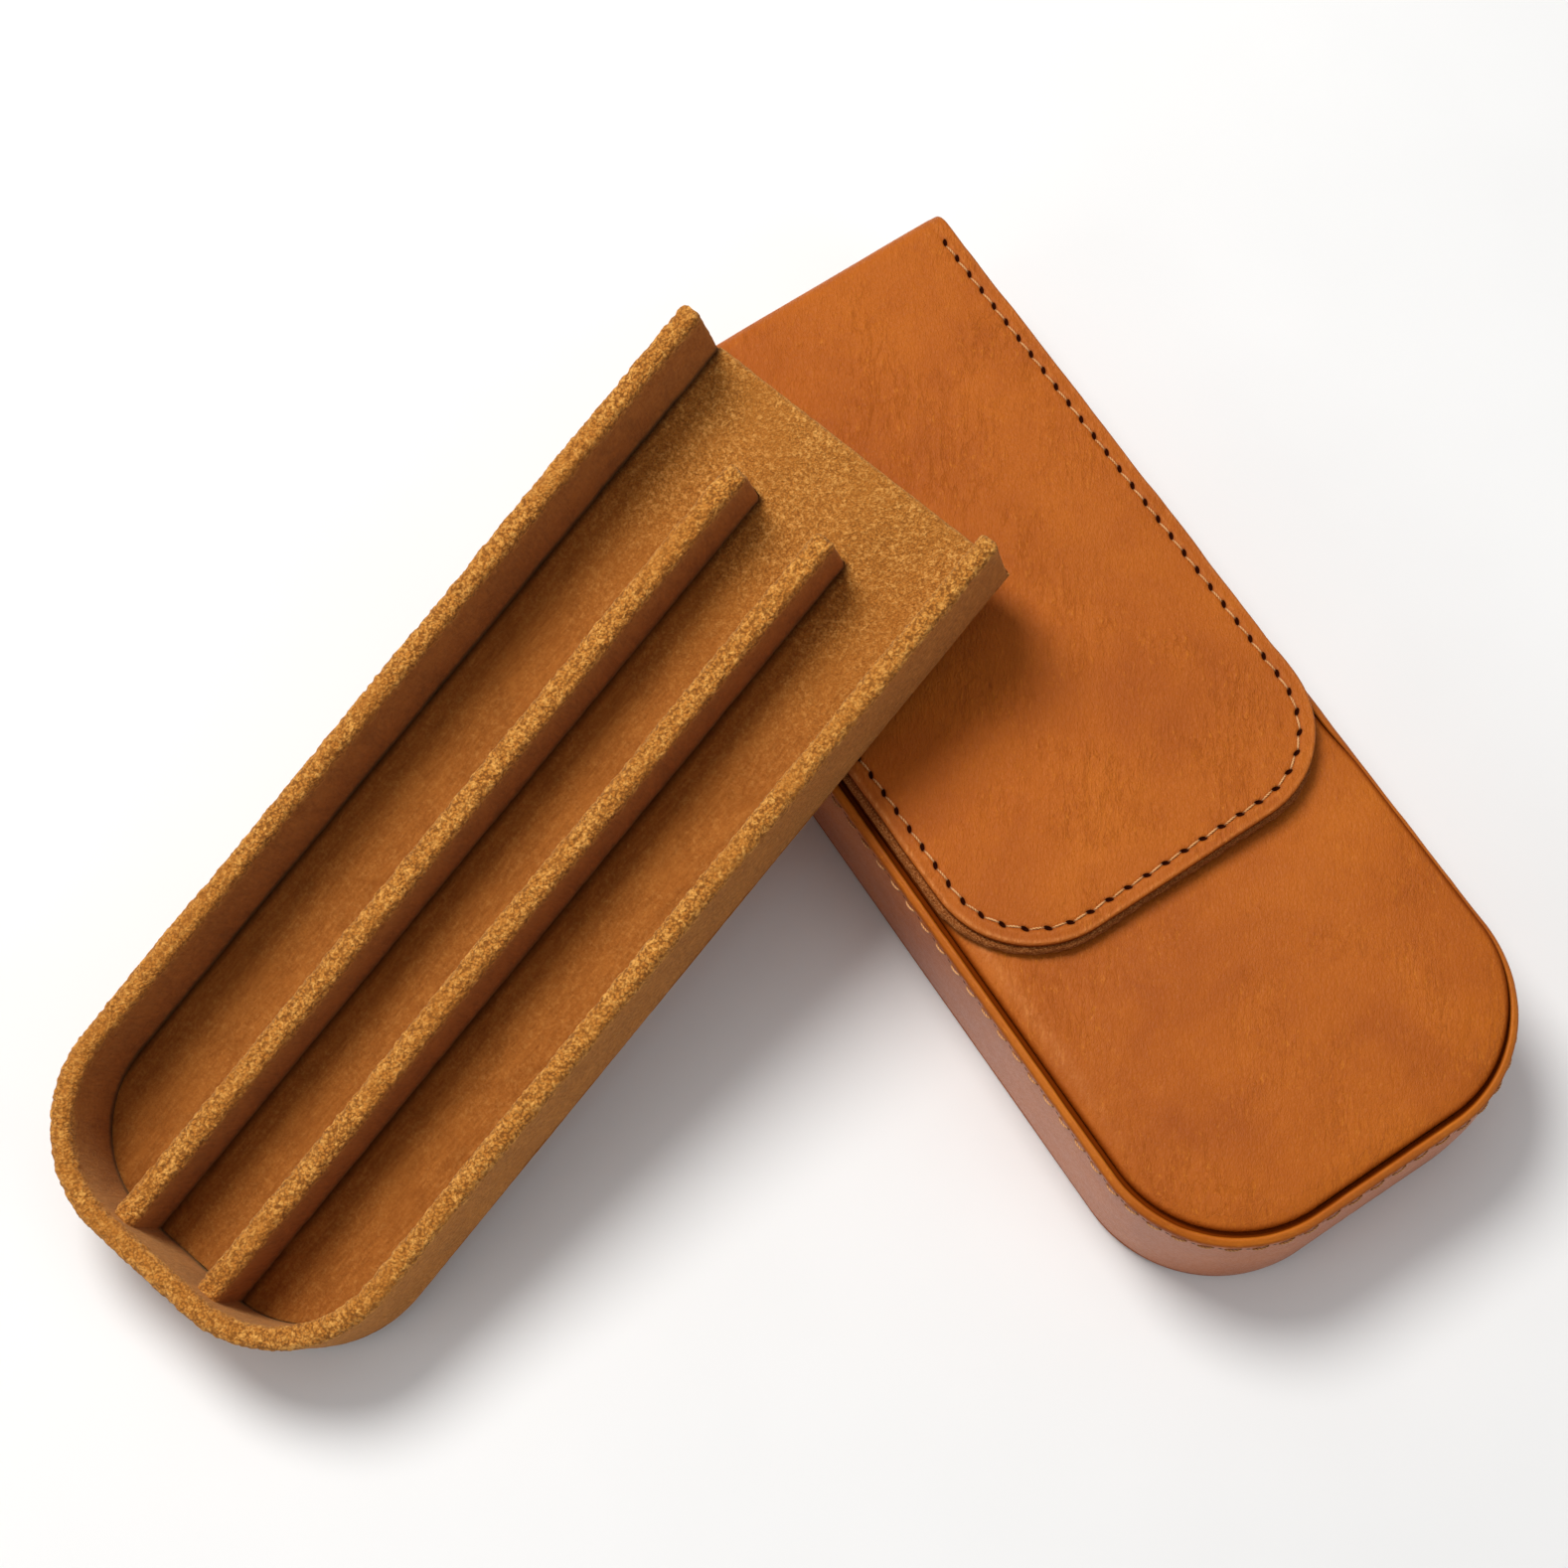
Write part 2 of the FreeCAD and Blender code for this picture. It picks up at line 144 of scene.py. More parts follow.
# ------------------------------------------------------------------ mesh making
def make(name, co, quads, ngons=(), attrs=None, material=None, sharp=None, move=None):
    """co in mm. attrs: {name: (n,) or (n, 3)}. move(co, normals) may shift the vertices."""
    me = bpy.data.meshes.new(name)
    quads = np.asarray(quads, np.int32).reshape(-1, 4)
    parts = [quads.ravel()] + [np.asarray(g, np.int32) for g in ngons]
    loops = np.concatenate(parts)
    sizes = np.concatenate([np.full(len(quads), 4)] + [[len(g)] for g in ngons]) if len(ngons) else np.full(len(quads), 4)
    starts = np.concatenate([[0], np.cumsum(sizes)[:-1]]).astype(np.int32)
    co = np.asarray(co, float)
    me.vertices.add(len(co))
    me.vertices.foreach_set("co", (co * MM).astype(np.float32).ravel())
    me.loops.add(len(loops))
    me.loops.foreach_set("vertex_index", loops)
    me.polygons.add(len(sizes))
    me.polygons.foreach_set("loop_start", starts)
    me.update(calc_edges=True)
    me.validate()
    bm = bmesh.new()
    bm.from_mesh(me)
    bmesh.ops.recalc_face_normals(bm, faces=bm.faces)
    bm.to_mesh(me)
    bm.free()
    if move is not None:
        me.update()
        nrm = np.zeros(len(co) * 3, np.float32)
        me.vertex_normals.foreach_get("vector", nrm)
        co = move(co, nrm.reshape(-1, 3).astype(float))
        me.vertices.foreach_set("co", (co * MM).astype(np.float32).ravel())
    me.polygons.foreach_set("use_smooth", np.ones(len(me.polygons), bool))
    me.update()
    if sharp is not None:
        me.set_sharp_from_angle(angle=math.radians(sharp))
    for key, val in (attrs or {}).items():
        val = np.asarray(val, np.float32)
        if val.ndim == 2:
            a = me.attributes.new(key, "FLOAT_VECTOR", "POINT")
            a.data.foreach_set("vector", val.ravel())
        else:
            a = me.attributes.new(key, "FLOAT", "POINT")
            a.data.foreach_set("value", val)
    ob = bpy.data.objects.new(name, me)
    bpy.context.scene.collection.objects.link(ob)
    if material is not None:
        me.materials.append(material)
    return ob


class Bag:
    """Several closed parts gathered into one mesh."""

    def __init__(self):
        self.co, self.quads, self.ngons, self.attrs, self.n = [], [], [], {}, 0

    def add(self, co, quads, ngons=(), **attrs):
        self.co.append(np.asarray(co, float))
        self.quads.append(np.asarray(quads, int).reshape(-1, 4) + self.n)
        self.ngons += [np.asarray(g, int) + self.n for g in ngons]
        for k, v in attrs.items():
            self.attrs.setdefault(k, []).append(np.asarray(v, float))
        self.n += len(co)

    def make(self, name, **kw):
        attrs = {k: np.concatenate(v) for k, v in self.attrs.items()}
        return make(name, np.concatenate(self.co), np.concatenate(self.quads), self.ngons, attrs, **kw)


class Path:
    """U-shaped outline, from the top of the left side round the foot to the top of the right."""

    def __init__(self, xl, xr, top, foot, rad, step, arc_n, foot_n):
        side_n = max(1, int(math.ceil((top - foot - rad) / step)))
        pts, nrm = [], []
        for i in range(side_n + 1):
            pts.append((xl, top + (foot + rad - top) * i / side_n))
            nrm.append((-1.0, 0.0))
        for i in range(1, arc_n + 1):
            a = math.pi + math.pi / 2 * i / arc_n
            pts.append((xl + rad + rad * math.cos(a), foot + rad + rad * math.sin(a)))
            nrm.append((math.cos(a), math.sin(a)))
        left, lnrm = list(pts), list(nrm)
        self.I = len(pts) - 1
        self.M = foot_n
        for j in range(1, foot_n):
            pts.append((xl + rad + (xr - xl - 2 * rad) * j / foot_n, foot))
            nrm.append((0.0, -1.0))
        for p, q in zip(reversed(left), reversed(lnrm)):
            pts.append((xl + xr - p[0], p[1]))
            nrm.append((-q[0], q[1]))
        self.P, self.N = np.array(pts), np.array(nrm)
        self.n = len(pts)
        self.xl, self.xr, self.top, self.foot, self.rad = xl, xr, top, foot, rad

    def arc(self, inset=0.0):
        q = self.P - self.N * inset
        return np.concatenate([[0], np.cumsum(np.linalg.norm(np.diff(q, axis=0), axis=1))])

    def at(self, s, inset=0.0):
        """Point, outward normal and tangent at arc length s along the inset line."""
        L = self.arc(inset)
        q = self.P - self.N * inset
        x, y = np.interp(s, L, q[:, 0]), np.interp(s, L, q[:, 1])
        nx, ny = np.interp(s, L, self.N[:, 0]), np.interp(s, L, self.N[:, 1])
        k = np.hypot(nx, ny)
        nx, ny = nx / k, ny / k
        return np.stack([x, y], -1), np.stack([nx, ny], -1), np.stack([-ny, nx], -1)


def sheet(path, prof):
    """A closed slab over a U outline. prof: (distance in from the edge, height) pairs
    from the upper inner ring, round the edge, to the lower inner ring."""
    K, n, I, M = len(prof), path.n, path.I, path.M
    F, dist, along, side = [], [], [], []
    L = path.arc(SEAM_IN)
    for k, (d, h) in enumerate(prof):
        q = path.P - path.N * d
        F.append(np.column_stack([q, np.full(n, h)]))
        dist.append(np.full(n, d))
        along.append(L)
        side.append(np.full(n, 1.0 if k < K / 2 else -1.0))
    base_top = K * n
    rows = {}
    count = base_top
    for tag, k in (("top", 0), ("bot", K - 1)):
        q = path.P - path.N * prof[k][0]
        t = np.arange(1, M) / M
        a, b = q[:I][:, None, :], q[n - 1 - np.arange(I)][:, None, :]
        inner = (a + (b - a) * t[None, :, None]).reshape(-1, 2)
        F.append(np.column_stack([inner, np.full(len(inner), prof[k][1])]))
        dd = np.minimum(np.minimum(inner[:, 0] - path.xl, path.xr - inner[:, 0]), inner[:, 1] - path.foot)
        dist.append(np.maximum(dd, prof[k][0] + 0.01))
        along.append(np.repeat(L[:I], M - 1))
        side.append(np.full(len(inner), 1.0 if tag == "top" else -1.0))
        rows[tag] = (k, count)
        count += len(inner)

    def grid(tag):
        k, start = rows[tag]
        g = np.zeros((I + 1, M + 1), int)
        g[:, 0] = k * n + np.arange(I + 1)
        g[:, M] = k * n + (n - 1 - np.arange(I + 1))
        g[:I, 1:M] = start + np.arange(I * (M - 1)).reshape(I, M - 1)
        g[I] = k * n + I + np.arange(M + 1)
        return g

    quads = []
    for tag in ("top", "bot"):
        g = grid(tag)
        q = np.stack([g[:-1, :-1], g[1:, :-1], g[1:, 1:], g[:-1, 1:]], -1).reshape(-1, 4)
        quads.append(q if tag == "top" else q[:, ::-1])
    r = (np.arange(K)[:, None] * n + np.arange(n)[None, :])
    quads.append(np.stack([r[:-1, :-1], r[1:, :-1], r[1:, 1:], r[:-1, 1:]], -1).reshape(-1, 4))
    gt, gb = grid("top")[0], grid("bot")[0]
    quads.append(np.stack([gt[:-1], gt[1:], gb[1:], gb[:-1]], -1))
    ngons = [r[:, 0], r[::-1, n - 1]]
    return (np.concatenate(F), np.concatenate(quads), ngons,
            np.concatenate(dist), np.concatenate(along), np.concatenate(side))


def edge_prof(top, bot, ring, r_top, r_bot, rows=(), n=4):
    """Profile of a slab's edge; rows are extra ring distances on the upper side."""
    p = [(ring, top)] + [(d, top) for d in rows if r_top < d < ring]
    for i in range(n + 1):
        a = math.pi / 2 * i / n
        p.append((r_top - r_top * math.sin(a), top - r_top + r_top * math.cos(a)))
    mid = top - bot - r_top - r_bot
    if mid > 0.35:
        m = max(1, int(mid / 0.35))
        for i in range(1, m):
            p.append((0.0, top - r_top - mid * i / m))
    for i in range(n + 1):
        a = math.pi / 2 * i / n
        q = (r_bot - r_bot * math.cos(a), bot + r_bot - r_bot * math.sin(a))
        if abs(q[0] - p[-1][0]) + abs(q[1] - p[-1][1]) > 1e-6:
            p.append(q)
    p += [(d, bot) for d in sorted(rows) if r_bot < d < ring and d > 1.0]
    p.append((ring, bot))
    return p


def sweep(P, N, prof, cap_r=0.0, cap_n=4):
    """A closed profile [(inset, z)] carried along a plan line, with rounded ends."""
    prof = np.array(prof, float)
    K, n = len(prof), len(P)
    d2 = np.roll(prof, -1, 0) - np.roll(prof, 1, 0)
    pn = np.stack([d2[:, 1], -d2[:, 0]], -1)
    pn /= np.maximum(np.linalg.norm(pn, axis=1, keepdims=True), 1e-9)
    area = 0.5 * np.sum(prof[:, 0] * np.roll(prof[:, 1], -1) - np.roll(prof[:, 0], -1) * prof[:, 1])
    if area < 0:
        pn = -pn
    plen = np.concatenate([[0], np.cumsum(np.linalg.norm(np.diff(prof, axis=0), axis=1))])
    S = np.concatenate([[0], np.cumsum(np.linalg.norm(np.diff(P, axis=0), axis=1))])
    T0 = (P[0] - P[1]) / np.linalg.norm(P[0] - P[1])
    T1 = (P[-1] - P[-2]) / np.linalg.norm(P[-1] - P[-2])
    rings = []
    ends = [math.pi / 2 * i / cap_n for i in range(cap_n, 0, -1)] if cap_r > 0 else []
    for a in ends:
        rings.append((P[0] + T0 * cap_r * math.sin(a), N[0], cap_r * (1 - math.cos(a)), -cap_r * math.sin(a)))
    for i in range(n):
        rings.append((P[i], N[i], 0.0, S[i]))
    for a in reversed(ends):
        rings.append((P[-1] + T1 * cap_r * math.sin(a), N[-1], cap_r * (1 - math.cos(a)), S[-1] + cap_r * math.sin(a)))
    co, ss, pl = [], [], []
    for c, nn, inset, s in rings:
        q = prof - pn * inset
        co.append(np.column_stack([c[0] - nn[0] * q[:, 0], c[1] - nn[1] * q[:, 0], q[:, 1]]))
        ss.append(np.full(K, s))
        pl.append(plen)
    m = len(rings)
    r = np.arange(m)[:, None] * K + np.arange(K)[None, :]
    rn = np.roll(r, -1, 1)
    quads = np.stack([r[:-1], r[1:], rn[1:], rn[:-1]], -1).reshape(-1, 4)
    return np.concatenate(co), quads, [r[0], r[-1][::-1]], np.concatenate(ss), np.concatenate(pl), m


def rounded(pts, radii, n=5):
    """Round the corners of a closed polygon; a radius of 0 keeps the corner."""
    out = []
    m = len(pts)
    for i in range(m):
        p, a, b = np.array(pts[i], float), np.array(pts[i - 1], float), np.array(pts[(i + 1) % m], float)
        r = radii[i]
        if r <= 0:
            out.append(tuple(p))
            continue
        u, v = (a - p) / np.linalg.norm(a - p), (b - p) / np.linalg.norm(b - p)
        ang = math.acos(np.clip(u @ v, -1, 1))
        d = r / math.tan(ang / 2)
        c = p + (u + v) / np.linalg.norm(u + v) * (r / math.sin(ang / 2))
        s0, s1 = p + u * d - c, p + v * d - c
        a0, a1 = math.atan2(s0[1], s0[0]), math.atan2(s1[1], s1[0])
        while a1 - a0 > math.pi:
            a1 -= 2 * math.pi
        while a1 - a0 < -math.pi:
            a1 += 2 * math.pi
        for k in range(n + 1):
            t = a0 + (a1 - a0) * k / n
            out.append((c[0] + r * math.cos(t), c[1] + r * math.sin(t)))
    return out


def densify(pts, step):
    """Add points along a closed polyline so no gap is longer than step(mid point)."""
    out = []
    m = len(pts)
    for i in range(m):
        a, b = np.array(pts[i], float), np.array(pts[(i + 1) % m], float)
        out.append(tuple(a))
        L = np.linalg.norm(b - a)
        k = int(L / step((a + b) / 2))
        for j in range(1, k + 1):
            out.append(tuple(a + (b - a) * j / (k + 1)))
    return out


# -------------------------------------------------------------------- materials
class Nodes:
    """Short-hand for building a node tree."""

    def __init__(self, name):
        self.mat = bpy.data.materials.new(name)
        self.mat.use_nodes = True
        self.t = self.mat.node_tree
        self.t.nodes.clear()
        self.out = self.t.nodes.new("ShaderNodeOutputMaterial")
        self.bsdf = self.t.nodes.new("ShaderNodeBsdfPrincipled")
        self.link(self.bsdf.outputs[0], self.out.inputs[0])

    def link(self, a, b):
        self.t.links.new(a, b)

    def put(self, sock, v):
        if isinstance(v, bpy.types.NodeSocket):
            self.link(v, sock)
        elif isinstance(v, (tuple, list)) and len(v) == 3 and sock.type == "RGBA":
            sock.default_value = (*v, 1.0)
        else:
            sock.default_value = v

    def attr(self, name, vector=False):
        n = self.t.nodes.new("ShaderNodeAttribute")
        n.attribute_name = name
        return n.outputs["Vector" if vector else "Fac"]

    def coord(self, kind="Object"):
        return self.t.nodes.new("ShaderNodeTexCoord").outputs[kind]

    def vmul(self, v, s):
        n = self.t.nodes.new("ShaderNodeVectorMath")
        n.operation = "MULTIPLY"
        self.link(v, n.inputs[0])
        n.inputs[1].default_value = s
        return n.outputs[0]

    def vadd(self, a, b):
        n = self.t.nodes.new("ShaderNodeVectorMath")
        n.operation = "ADD"
        self.put(n.inputs[0], a)
        self.put(n.inputs[1], b)
        return n.outputs[0]

    def noise(self, v, scale, detail=2.0, rough=0.5, dist=0.0, color=False):
        n = self.t.nodes.new("ShaderNodeTexNoise")
        self.link(v, n.inputs["Vector"])
        n.inputs["Scale"].default_value = scale
        n.inputs["Detail"].default_value = detail
        n.inputs["Roughness"].default_value = rough
        n.inputs["Distortion"].default_value = dist
        return n.outputs[1 if color else 0]

    def voronoi(self, v, scale, feature="F1", rand=1.0):
        n = self.t.nodes.new("ShaderNodeTexVoronoi")
        n.feature = feature
        self.link(v, n.inputs["Vector"])
        n.inputs["Scale"].default_value = scale
        n.inputs["Randomness"].default_value = rand
        return n.outputs["Distance"]

    def math(self, op, a, b=0.0, c=0.0, clamp=False):
        n = self.t.nodes.new("ShaderNodeMath")
        n.operation = op
        n.use_clamp = clamp
        for s, v in zip(n.inputs, (a, b, c)):
            self.put(s, v)
        return n.outputs[0]

    def ramp(self, fac, stops):
        n = self.t.nodes.new("ShaderNodeValToRGB")
        self.put(n.inputs[0], fac)
        e = n.color_ramp.elements
        while len(e) > 1:
            e.remove(e[-1])
        e[0].position = stops[0][0]
        e[0].color = self._col(stops[0][1])
        for p, c in stops[1:]:
            el = e.new(p)
            el.color = self._col(c)
        return n.outputs[0]

    @staticmethod
    def _col(c):
        return (c, c, c, 1.0) if isinstance(c, (int, float)) else (*c, 1.0)

    def mix(self, a, b, fac, mode="MIX"):
        n = self.t.nodes.new("ShaderNodeMix")
        n.data_type = "RGBA"
        n.blend_type = mode
        n.clamp_factor = True
        self.put(n.inputs[0], fac)
        self.put(n.inputs[6], a)
        self.put(n.inputs[7], b)
        return n.outputs[2]

    def band(self, v, a, b):
        """0 below a, 1 above b."""
        n = self.t.nodes.new("ShaderNodeMapRange")
        n.interpolation_type = "SMOOTHSTEP"
        self.put(n.inputs[0], v)
        n.inputs[1].default_value, n.inputs[2].default_value = a, b
        n.inputs[3].default_value, n.inputs[4].default_value = 0.0, 1.0
        return n.outputs[0]

    def bump(self, height, dist_mm, strength=1.0, normal=None):
        n = self.t.nodes.new("ShaderNodeBump")
        n.inputs["Strength"].default_value = strength
        n.inputs["Distance"].default_value = dist_mm * MM
        self.put(n.inputs["Height"], height)
        if normal is not None:
            self.link(normal, n.inputs["Normal"])
        return n.outputs[0]

    def set(self, **kw):
        names = {"color": "Base Color", "rough": "Roughness", "metal": "Metallic", "normal": "Normal",
                 "spec": "Specular IOR Level", "sheen": "Sheen Weight", "sheen_rough": "Sheen Roughness",
                 "sheen_tint": "Sheen Tint", "coat": "Coat Weight", "coat_rough": "Coat Roughness",
                 "sss": "Subsurface Weight"}
        for k, v in kw.items():
            self.put(self.bsdf.inputs[names[k]], v)
        return self.mat


TAN = (0.455, 0.107, 0.0042)


def leather(name, tint=(1.0, 1.0, 1.0), holes=None, raw=False, from_object=False, spec_level=0.21, rough_base=0.40, grain_mm=0.10):
    g = Nodes(name)
    v = g.vmul(g.coord(), (1000.0, 1000.0, 1000.0)) if from_object else g.attr("tex", True)
    base = tuple(a * b for a, b in zip(TAN, tint))
    dark = (base[0] * 0.80, base[1] * 0.72, base[2] * 0.66)
    lite = (min(base[0] * 1.12, 1), base[1] * 1.20, base[2] * 1.35)
    # broad cloudy variation of the dye
    cloud = g.noise(v, 0.035, 3.0, 0.55, 0.4)
    col = g.ramp(cloud, [(0.30, dark), (0.50, base), (0.70, lite)])
    blot = g.noise(v, 0.16, 4.0, 0.6, 0.8)
    col = g.mix(col, (base[0] * 0.84, base[1] * 0.76, base[2] * 0.7), g.math("MULTIPLY", g.band(blot, 0.50, 0.72), 0.35))
    col = g.mix(col, lite, g.math("MULTIPLY", g.band(blot, 0.48, 0.28), 0.28))
    # fine hide grain: small closed cells, with short pale creases running along the hide
    warp = g.noise(v, 0.9, 2.0, 0.5, 0.0, True)
    vw = g.vadd(v, g.vmul(warp, (0.55, 0.55, 0.55)))
    cells = g.voronoi(g.vmul(vw, (1.0, 0.55, 1.0)), 1.75, "DISTANCE_TO_EDGE")
    cell_h = g.band(cells, 0.0, 0.22)
    fine = g.noise(v, 4.2, 3.0, 0.6)
    hair = g.noise(g.vmul(vw, (1.0, 0.30, 1.0)), 1.9, 4.0, 0.70)
    where = g.band(g.noise(v, 0.060, 3.0, 0.6, 0.5), 0.40, 0.60)
    light_line = g.math("MULTIPLY", g.band(hair, 0.55, 0.70), g.math("ADD", 0.35, g.math("MULTIPLY", where, 0.65)))
    dark_line = g.math("MULTIPLY", g.band(hair, 0.45, 0.31), g.math("ADD", 0.35, g.math("MULTIPLY", where, 0.65)))
    crease = g.band(g.math("ABSOLUTE", g.math("SUBTRACT", g.noise(g.vmul(vw, (0.55, 0.12, 0.55)), 1.0, 4.0, 0.65, 0.6), 0.5)), 0.0, 0.035)
    crease = g.math("MAXIMUM", crease, g.math("SUBTRACT", 1.0, where))
    height = g.math("ADD", g.math("MULTIPLY", cell_h, 0.30), g.math("MULTIPLY", hair, 2.6))
    height = g.math("ADD", height, g.math("MULTIPLY", fine, 0.7))
    height = g.math("ADD", height, g.math("MULTIPLY", crease, 0.6))
    # colour sits a little darker in the grain's valleys and paler on its ridges
    col = g.mix(col, dark, g.math("MULTIPLY", g.math("SUBTRACT", 1.0, cell_h), 0.16))
    col = g.mix(col, dark, g.math("MULTIPLY", g.math("SUBTRACT", 1.0, crease), 0.30))
    col = g.mix(col, (base[0] * 0.80, base[1] * 0.70, base[2] * 0.6), g.math("MULTIPLY", dark_line, 0.55))
    col = g.mix(col, (min(base[0] * 1.26, 1.0), base[1] * 1.55, base[2] * 2.6), g.math("MULTIPLY", light_line, 0.74))
    # painted highlight: paler leather on the flap's rim and on the padded shoulder, where the attribute rim asks for it
    painted_rim_highlight = g.math("MULTIPLY", g.attr("rim"), g.math("ADD", 0.45, g.math("MULTIPLY", g.band(hair, 0.46, 0.62), 0.75)))
    col = g.mix(col, (min(base[0] * 1.50, 1.0), base[1] * 2.35, base[2] * 16.0), painted_rim_highlight)
    # burnished or raw edges; on the piping and the front panel this mask also carries painted shade in the groove
    # between them
    edge = g.attr("edge")
    if raw:
        fib = g.noise(g.vmul(v, (1.0, 1.0, 3.0)), 3.2, 4.0, 0.7)
        rawc = g.ramp(fib, [(0.30, (0.085, 0.018, 0.005)), (0.50, (0.34, 0.098, 0.022)), (0.72, (0.68, 0.30, 0.105))])
        col = g.mix(col, rawc, edge)
        height = g.math("ADD", height, g.math("MULTIPLY", g.math("MULTIPLY", fib, edge), 6.0))
        # painted shade in the gap under the flap leather and along the lining's foot
        col = g.mix(col, (0.030, 0.008, 0.003), g.attr("painted_gap_shade"))
    else:
        col = g.mix(col, (base[0] * 0.36, base[1] * 0.22, base[2] * 0.30), edge)
    rough = g.math("ADD", rough_base, g.math("MULTIPLY", g.noise(v, 0.5, 3.0, 0.6), 0.16))
    rough = g.math("ADD", rough, g.math("MULTIPLY", g.math("SUBTRACT", 1.0, cell_h), 0.10))
    rough = g.math("ADD", rough, g.math("MULTIPLY", edge, 0.25))
    if holes:
        pitch, centre, tilt, la, lb = holes
        s, d = g.attr("seam_s"), g.attr("seam_d")
        u = g.math("MULTIPLY", g.math("SUBTRACT", g.math("FRACT", g.math("DIVIDE", s, pitch)), 0.5), pitch)
        w = g.math("SUBTRACT", g.math("SUBTRACT", d, centre), g.math("MULTIPLY", u, tilt))
        e = g.math("ADD", g.math("POWER", g.math("ABSOLUTE", g.math("DIVIDE", u, la)), 2.0),
                   g.math("POWER", g.math("ABSOLUTE", g.math("DIVIDE", w, lb)), 2.0))
        hole = g.band(e, 1.25, 0.70)
        ring = g.band(e, 4.5, 1.0)
        near = g.band(g.math("ABSOLUTE", g.math("SUBTRACT", d, centre)), 0.55, 0.15)
        col = g.mix(col, dark, g.math("MULTIPLY", near, 0.35))
        col = g.mix(col, (base[0] * 0.45, base[1] * 0.35, base[2] * 0.4), g.math("MULTIPLY", ring, 0.35))
        # the hole's core gets a near-black colour: painted shade inside each needle hole, over a small dent
        col = g.mix(col, (0.026, 0.004, 0.0015), hole)
        height = g.math("SUBTRACT", height, g.math("MULTIPLY", hole, 3.0))
        rough = g.math("ADD", rough, g.math("MULTIPLY", hole, 0.3))
        edge = g.math("MAXIMUM", edge, hole)
    n = g.bump(g.noise(v, 0.12, 2.0, 0.5), 0.55, 0.35)
    n = g.bump(height, grain_mm, 0.8, n)
    spec = g.math("MULTIPLY", g.math("SUBTRACT", 1.0, edge), spec_level)
    return g.set(color=col, rough=rough, normal=n, spec=spec)


def suede(name, base=(0.56, 0.205, 0.032), dark=(0.12, 0.030, 0.005), lite=(0.84, 0.39, 0.085),
          smooth_col=(0.335, 0.100, 0.017), grain=2.9, sheen=0.35, from_object=False, nap=None, pit=0.55):
    """Granular on raised nap (attribute nap = 1), brushed and darker on flat walls (nap = 0)."""
    g = Nodes(name)
    v = g.vmul(g.coord(), (1000.0, 1000.0, 1000.0)) if from_object else g.attr("tex", True)
    k = g.attr("nap") if nap is None else nap
    patch = g.noise(v, 0.07, 3.0, 0.6, 0.6)
    # granular tufts
    warp = g.noise(v, grain * 0.9, 2.0, 0.6, 0.0, True)
    vw = g.vadd(v, g.vmul(warp, (0.42, 0.42, 0.42)))
    tuft = g.noise(vw, grain * 0.55, 4.0, 0.70, 0.4)
    cells = g.voronoi(vw, grain, "F1")
    h1 = g.math("SUBTRACT", g.math("MULTIPLY", tuft, 1.0), g.math("MULTIPLY", cells, 0.62))
    gran = g.ramp(tuft, [(0.32, (base[0] * 0.80, base[1] * 0.72, base[2] * 0.65)), (0.50, base), (0.68, lite)])
    pits = g.math("MULTIPLY", g.band(cells, 0.36, 0.62), g.band(tuft, 0.70, 0.42))
    gran = g.mix(gran, dark, g.math("MULTIPLY", pits, pit))
    gran = g.mix(gran, (base[0] * 0.80, base[1] * 0.72, base[2] * 0.62), g.math("MULTIPLY", g.band(patch, 0.46, 0.66), 0.45))
    # brushed wall: strokes across the wall, soft patches
    st = g.noise(g.vmul(v, (1.0, 0.16, 1.0)), 1.9, 4.0, 0.65, 0.3)
    flat = g.ramp(st, [(0.28, (smooth_col[0] * 0.70, smooth_col[1] * 0.62, smooth_col[2] * 0.55)), (0.5, smooth_col),
                       (0.74, (smooth_col[0] * 1.35, smooth_col[1] * 1.55, smooth_col[2] * 1.7))])
    wide = g.noise(g.vmul(v, (1.0, 0.35, 1.0)), 0.22, 3.0, 0.6, 0.8)
    flat = g.mix(flat, (smooth_col[0] * 1.30, smooth_col[1] * 1.45, smooth_col[2] * 1.5), g.math("MULTIPLY", g.band(wide, 0.47, 0.66), 0.5))
    flat = g.mix(flat, (smooth_col[0] * 0.62, smooth_col[1] * 0.55, smooth_col[2] * 0.5), g.math("MULTIPLY", g.band(wide, 0.46, 0.30), 0.45))
    speck = g.noise(v, grain * 1.7, 2.0, 0.6)
    flat = g.mix(flat, dark, g.math("MULTIPLY", g.band(speck, 0.56, 0.75), 0.35))
    col = g.mix(flat, gran, k)
    # painted shade in the creases where the tray's floor meets its walls and dividers (attribute edge)
    shade = g.attr("edge")
    col = g.mix(col, (dark[0] * 0.55, dark[1] * 0.5, dark[2] * 0.5), shade)
    fibre = g.noise(v, grain * 3.4, 3.0, 0.7)
    hg = g.math("ADD", g.math("MULTIPLY", h1, 1.0), g.math("MULTIPLY", fibre, 0.35))
    hs = g.math("ADD", g.math("MULTIPLY", st, 0.22), g.math("MULTIPLY", fibre, 0.22))
    n1 = g.bump(g.math("ADD", g.math("MULTIPLY", hg, k), g.math("MULTIPLY", hs, g.math("SUBTRACT", 1.0, k))), 0.46, 0.95)
    return g.set(color=col, rough=g.math("ADD", 0.86, g.math("MULTIPLY", fibre, 0.12)), normal=n1, spec=0.08,
                 sheen=sheen, sheen_rough=0.45, sheen_tint=(0.95, 0.62, 0.28))


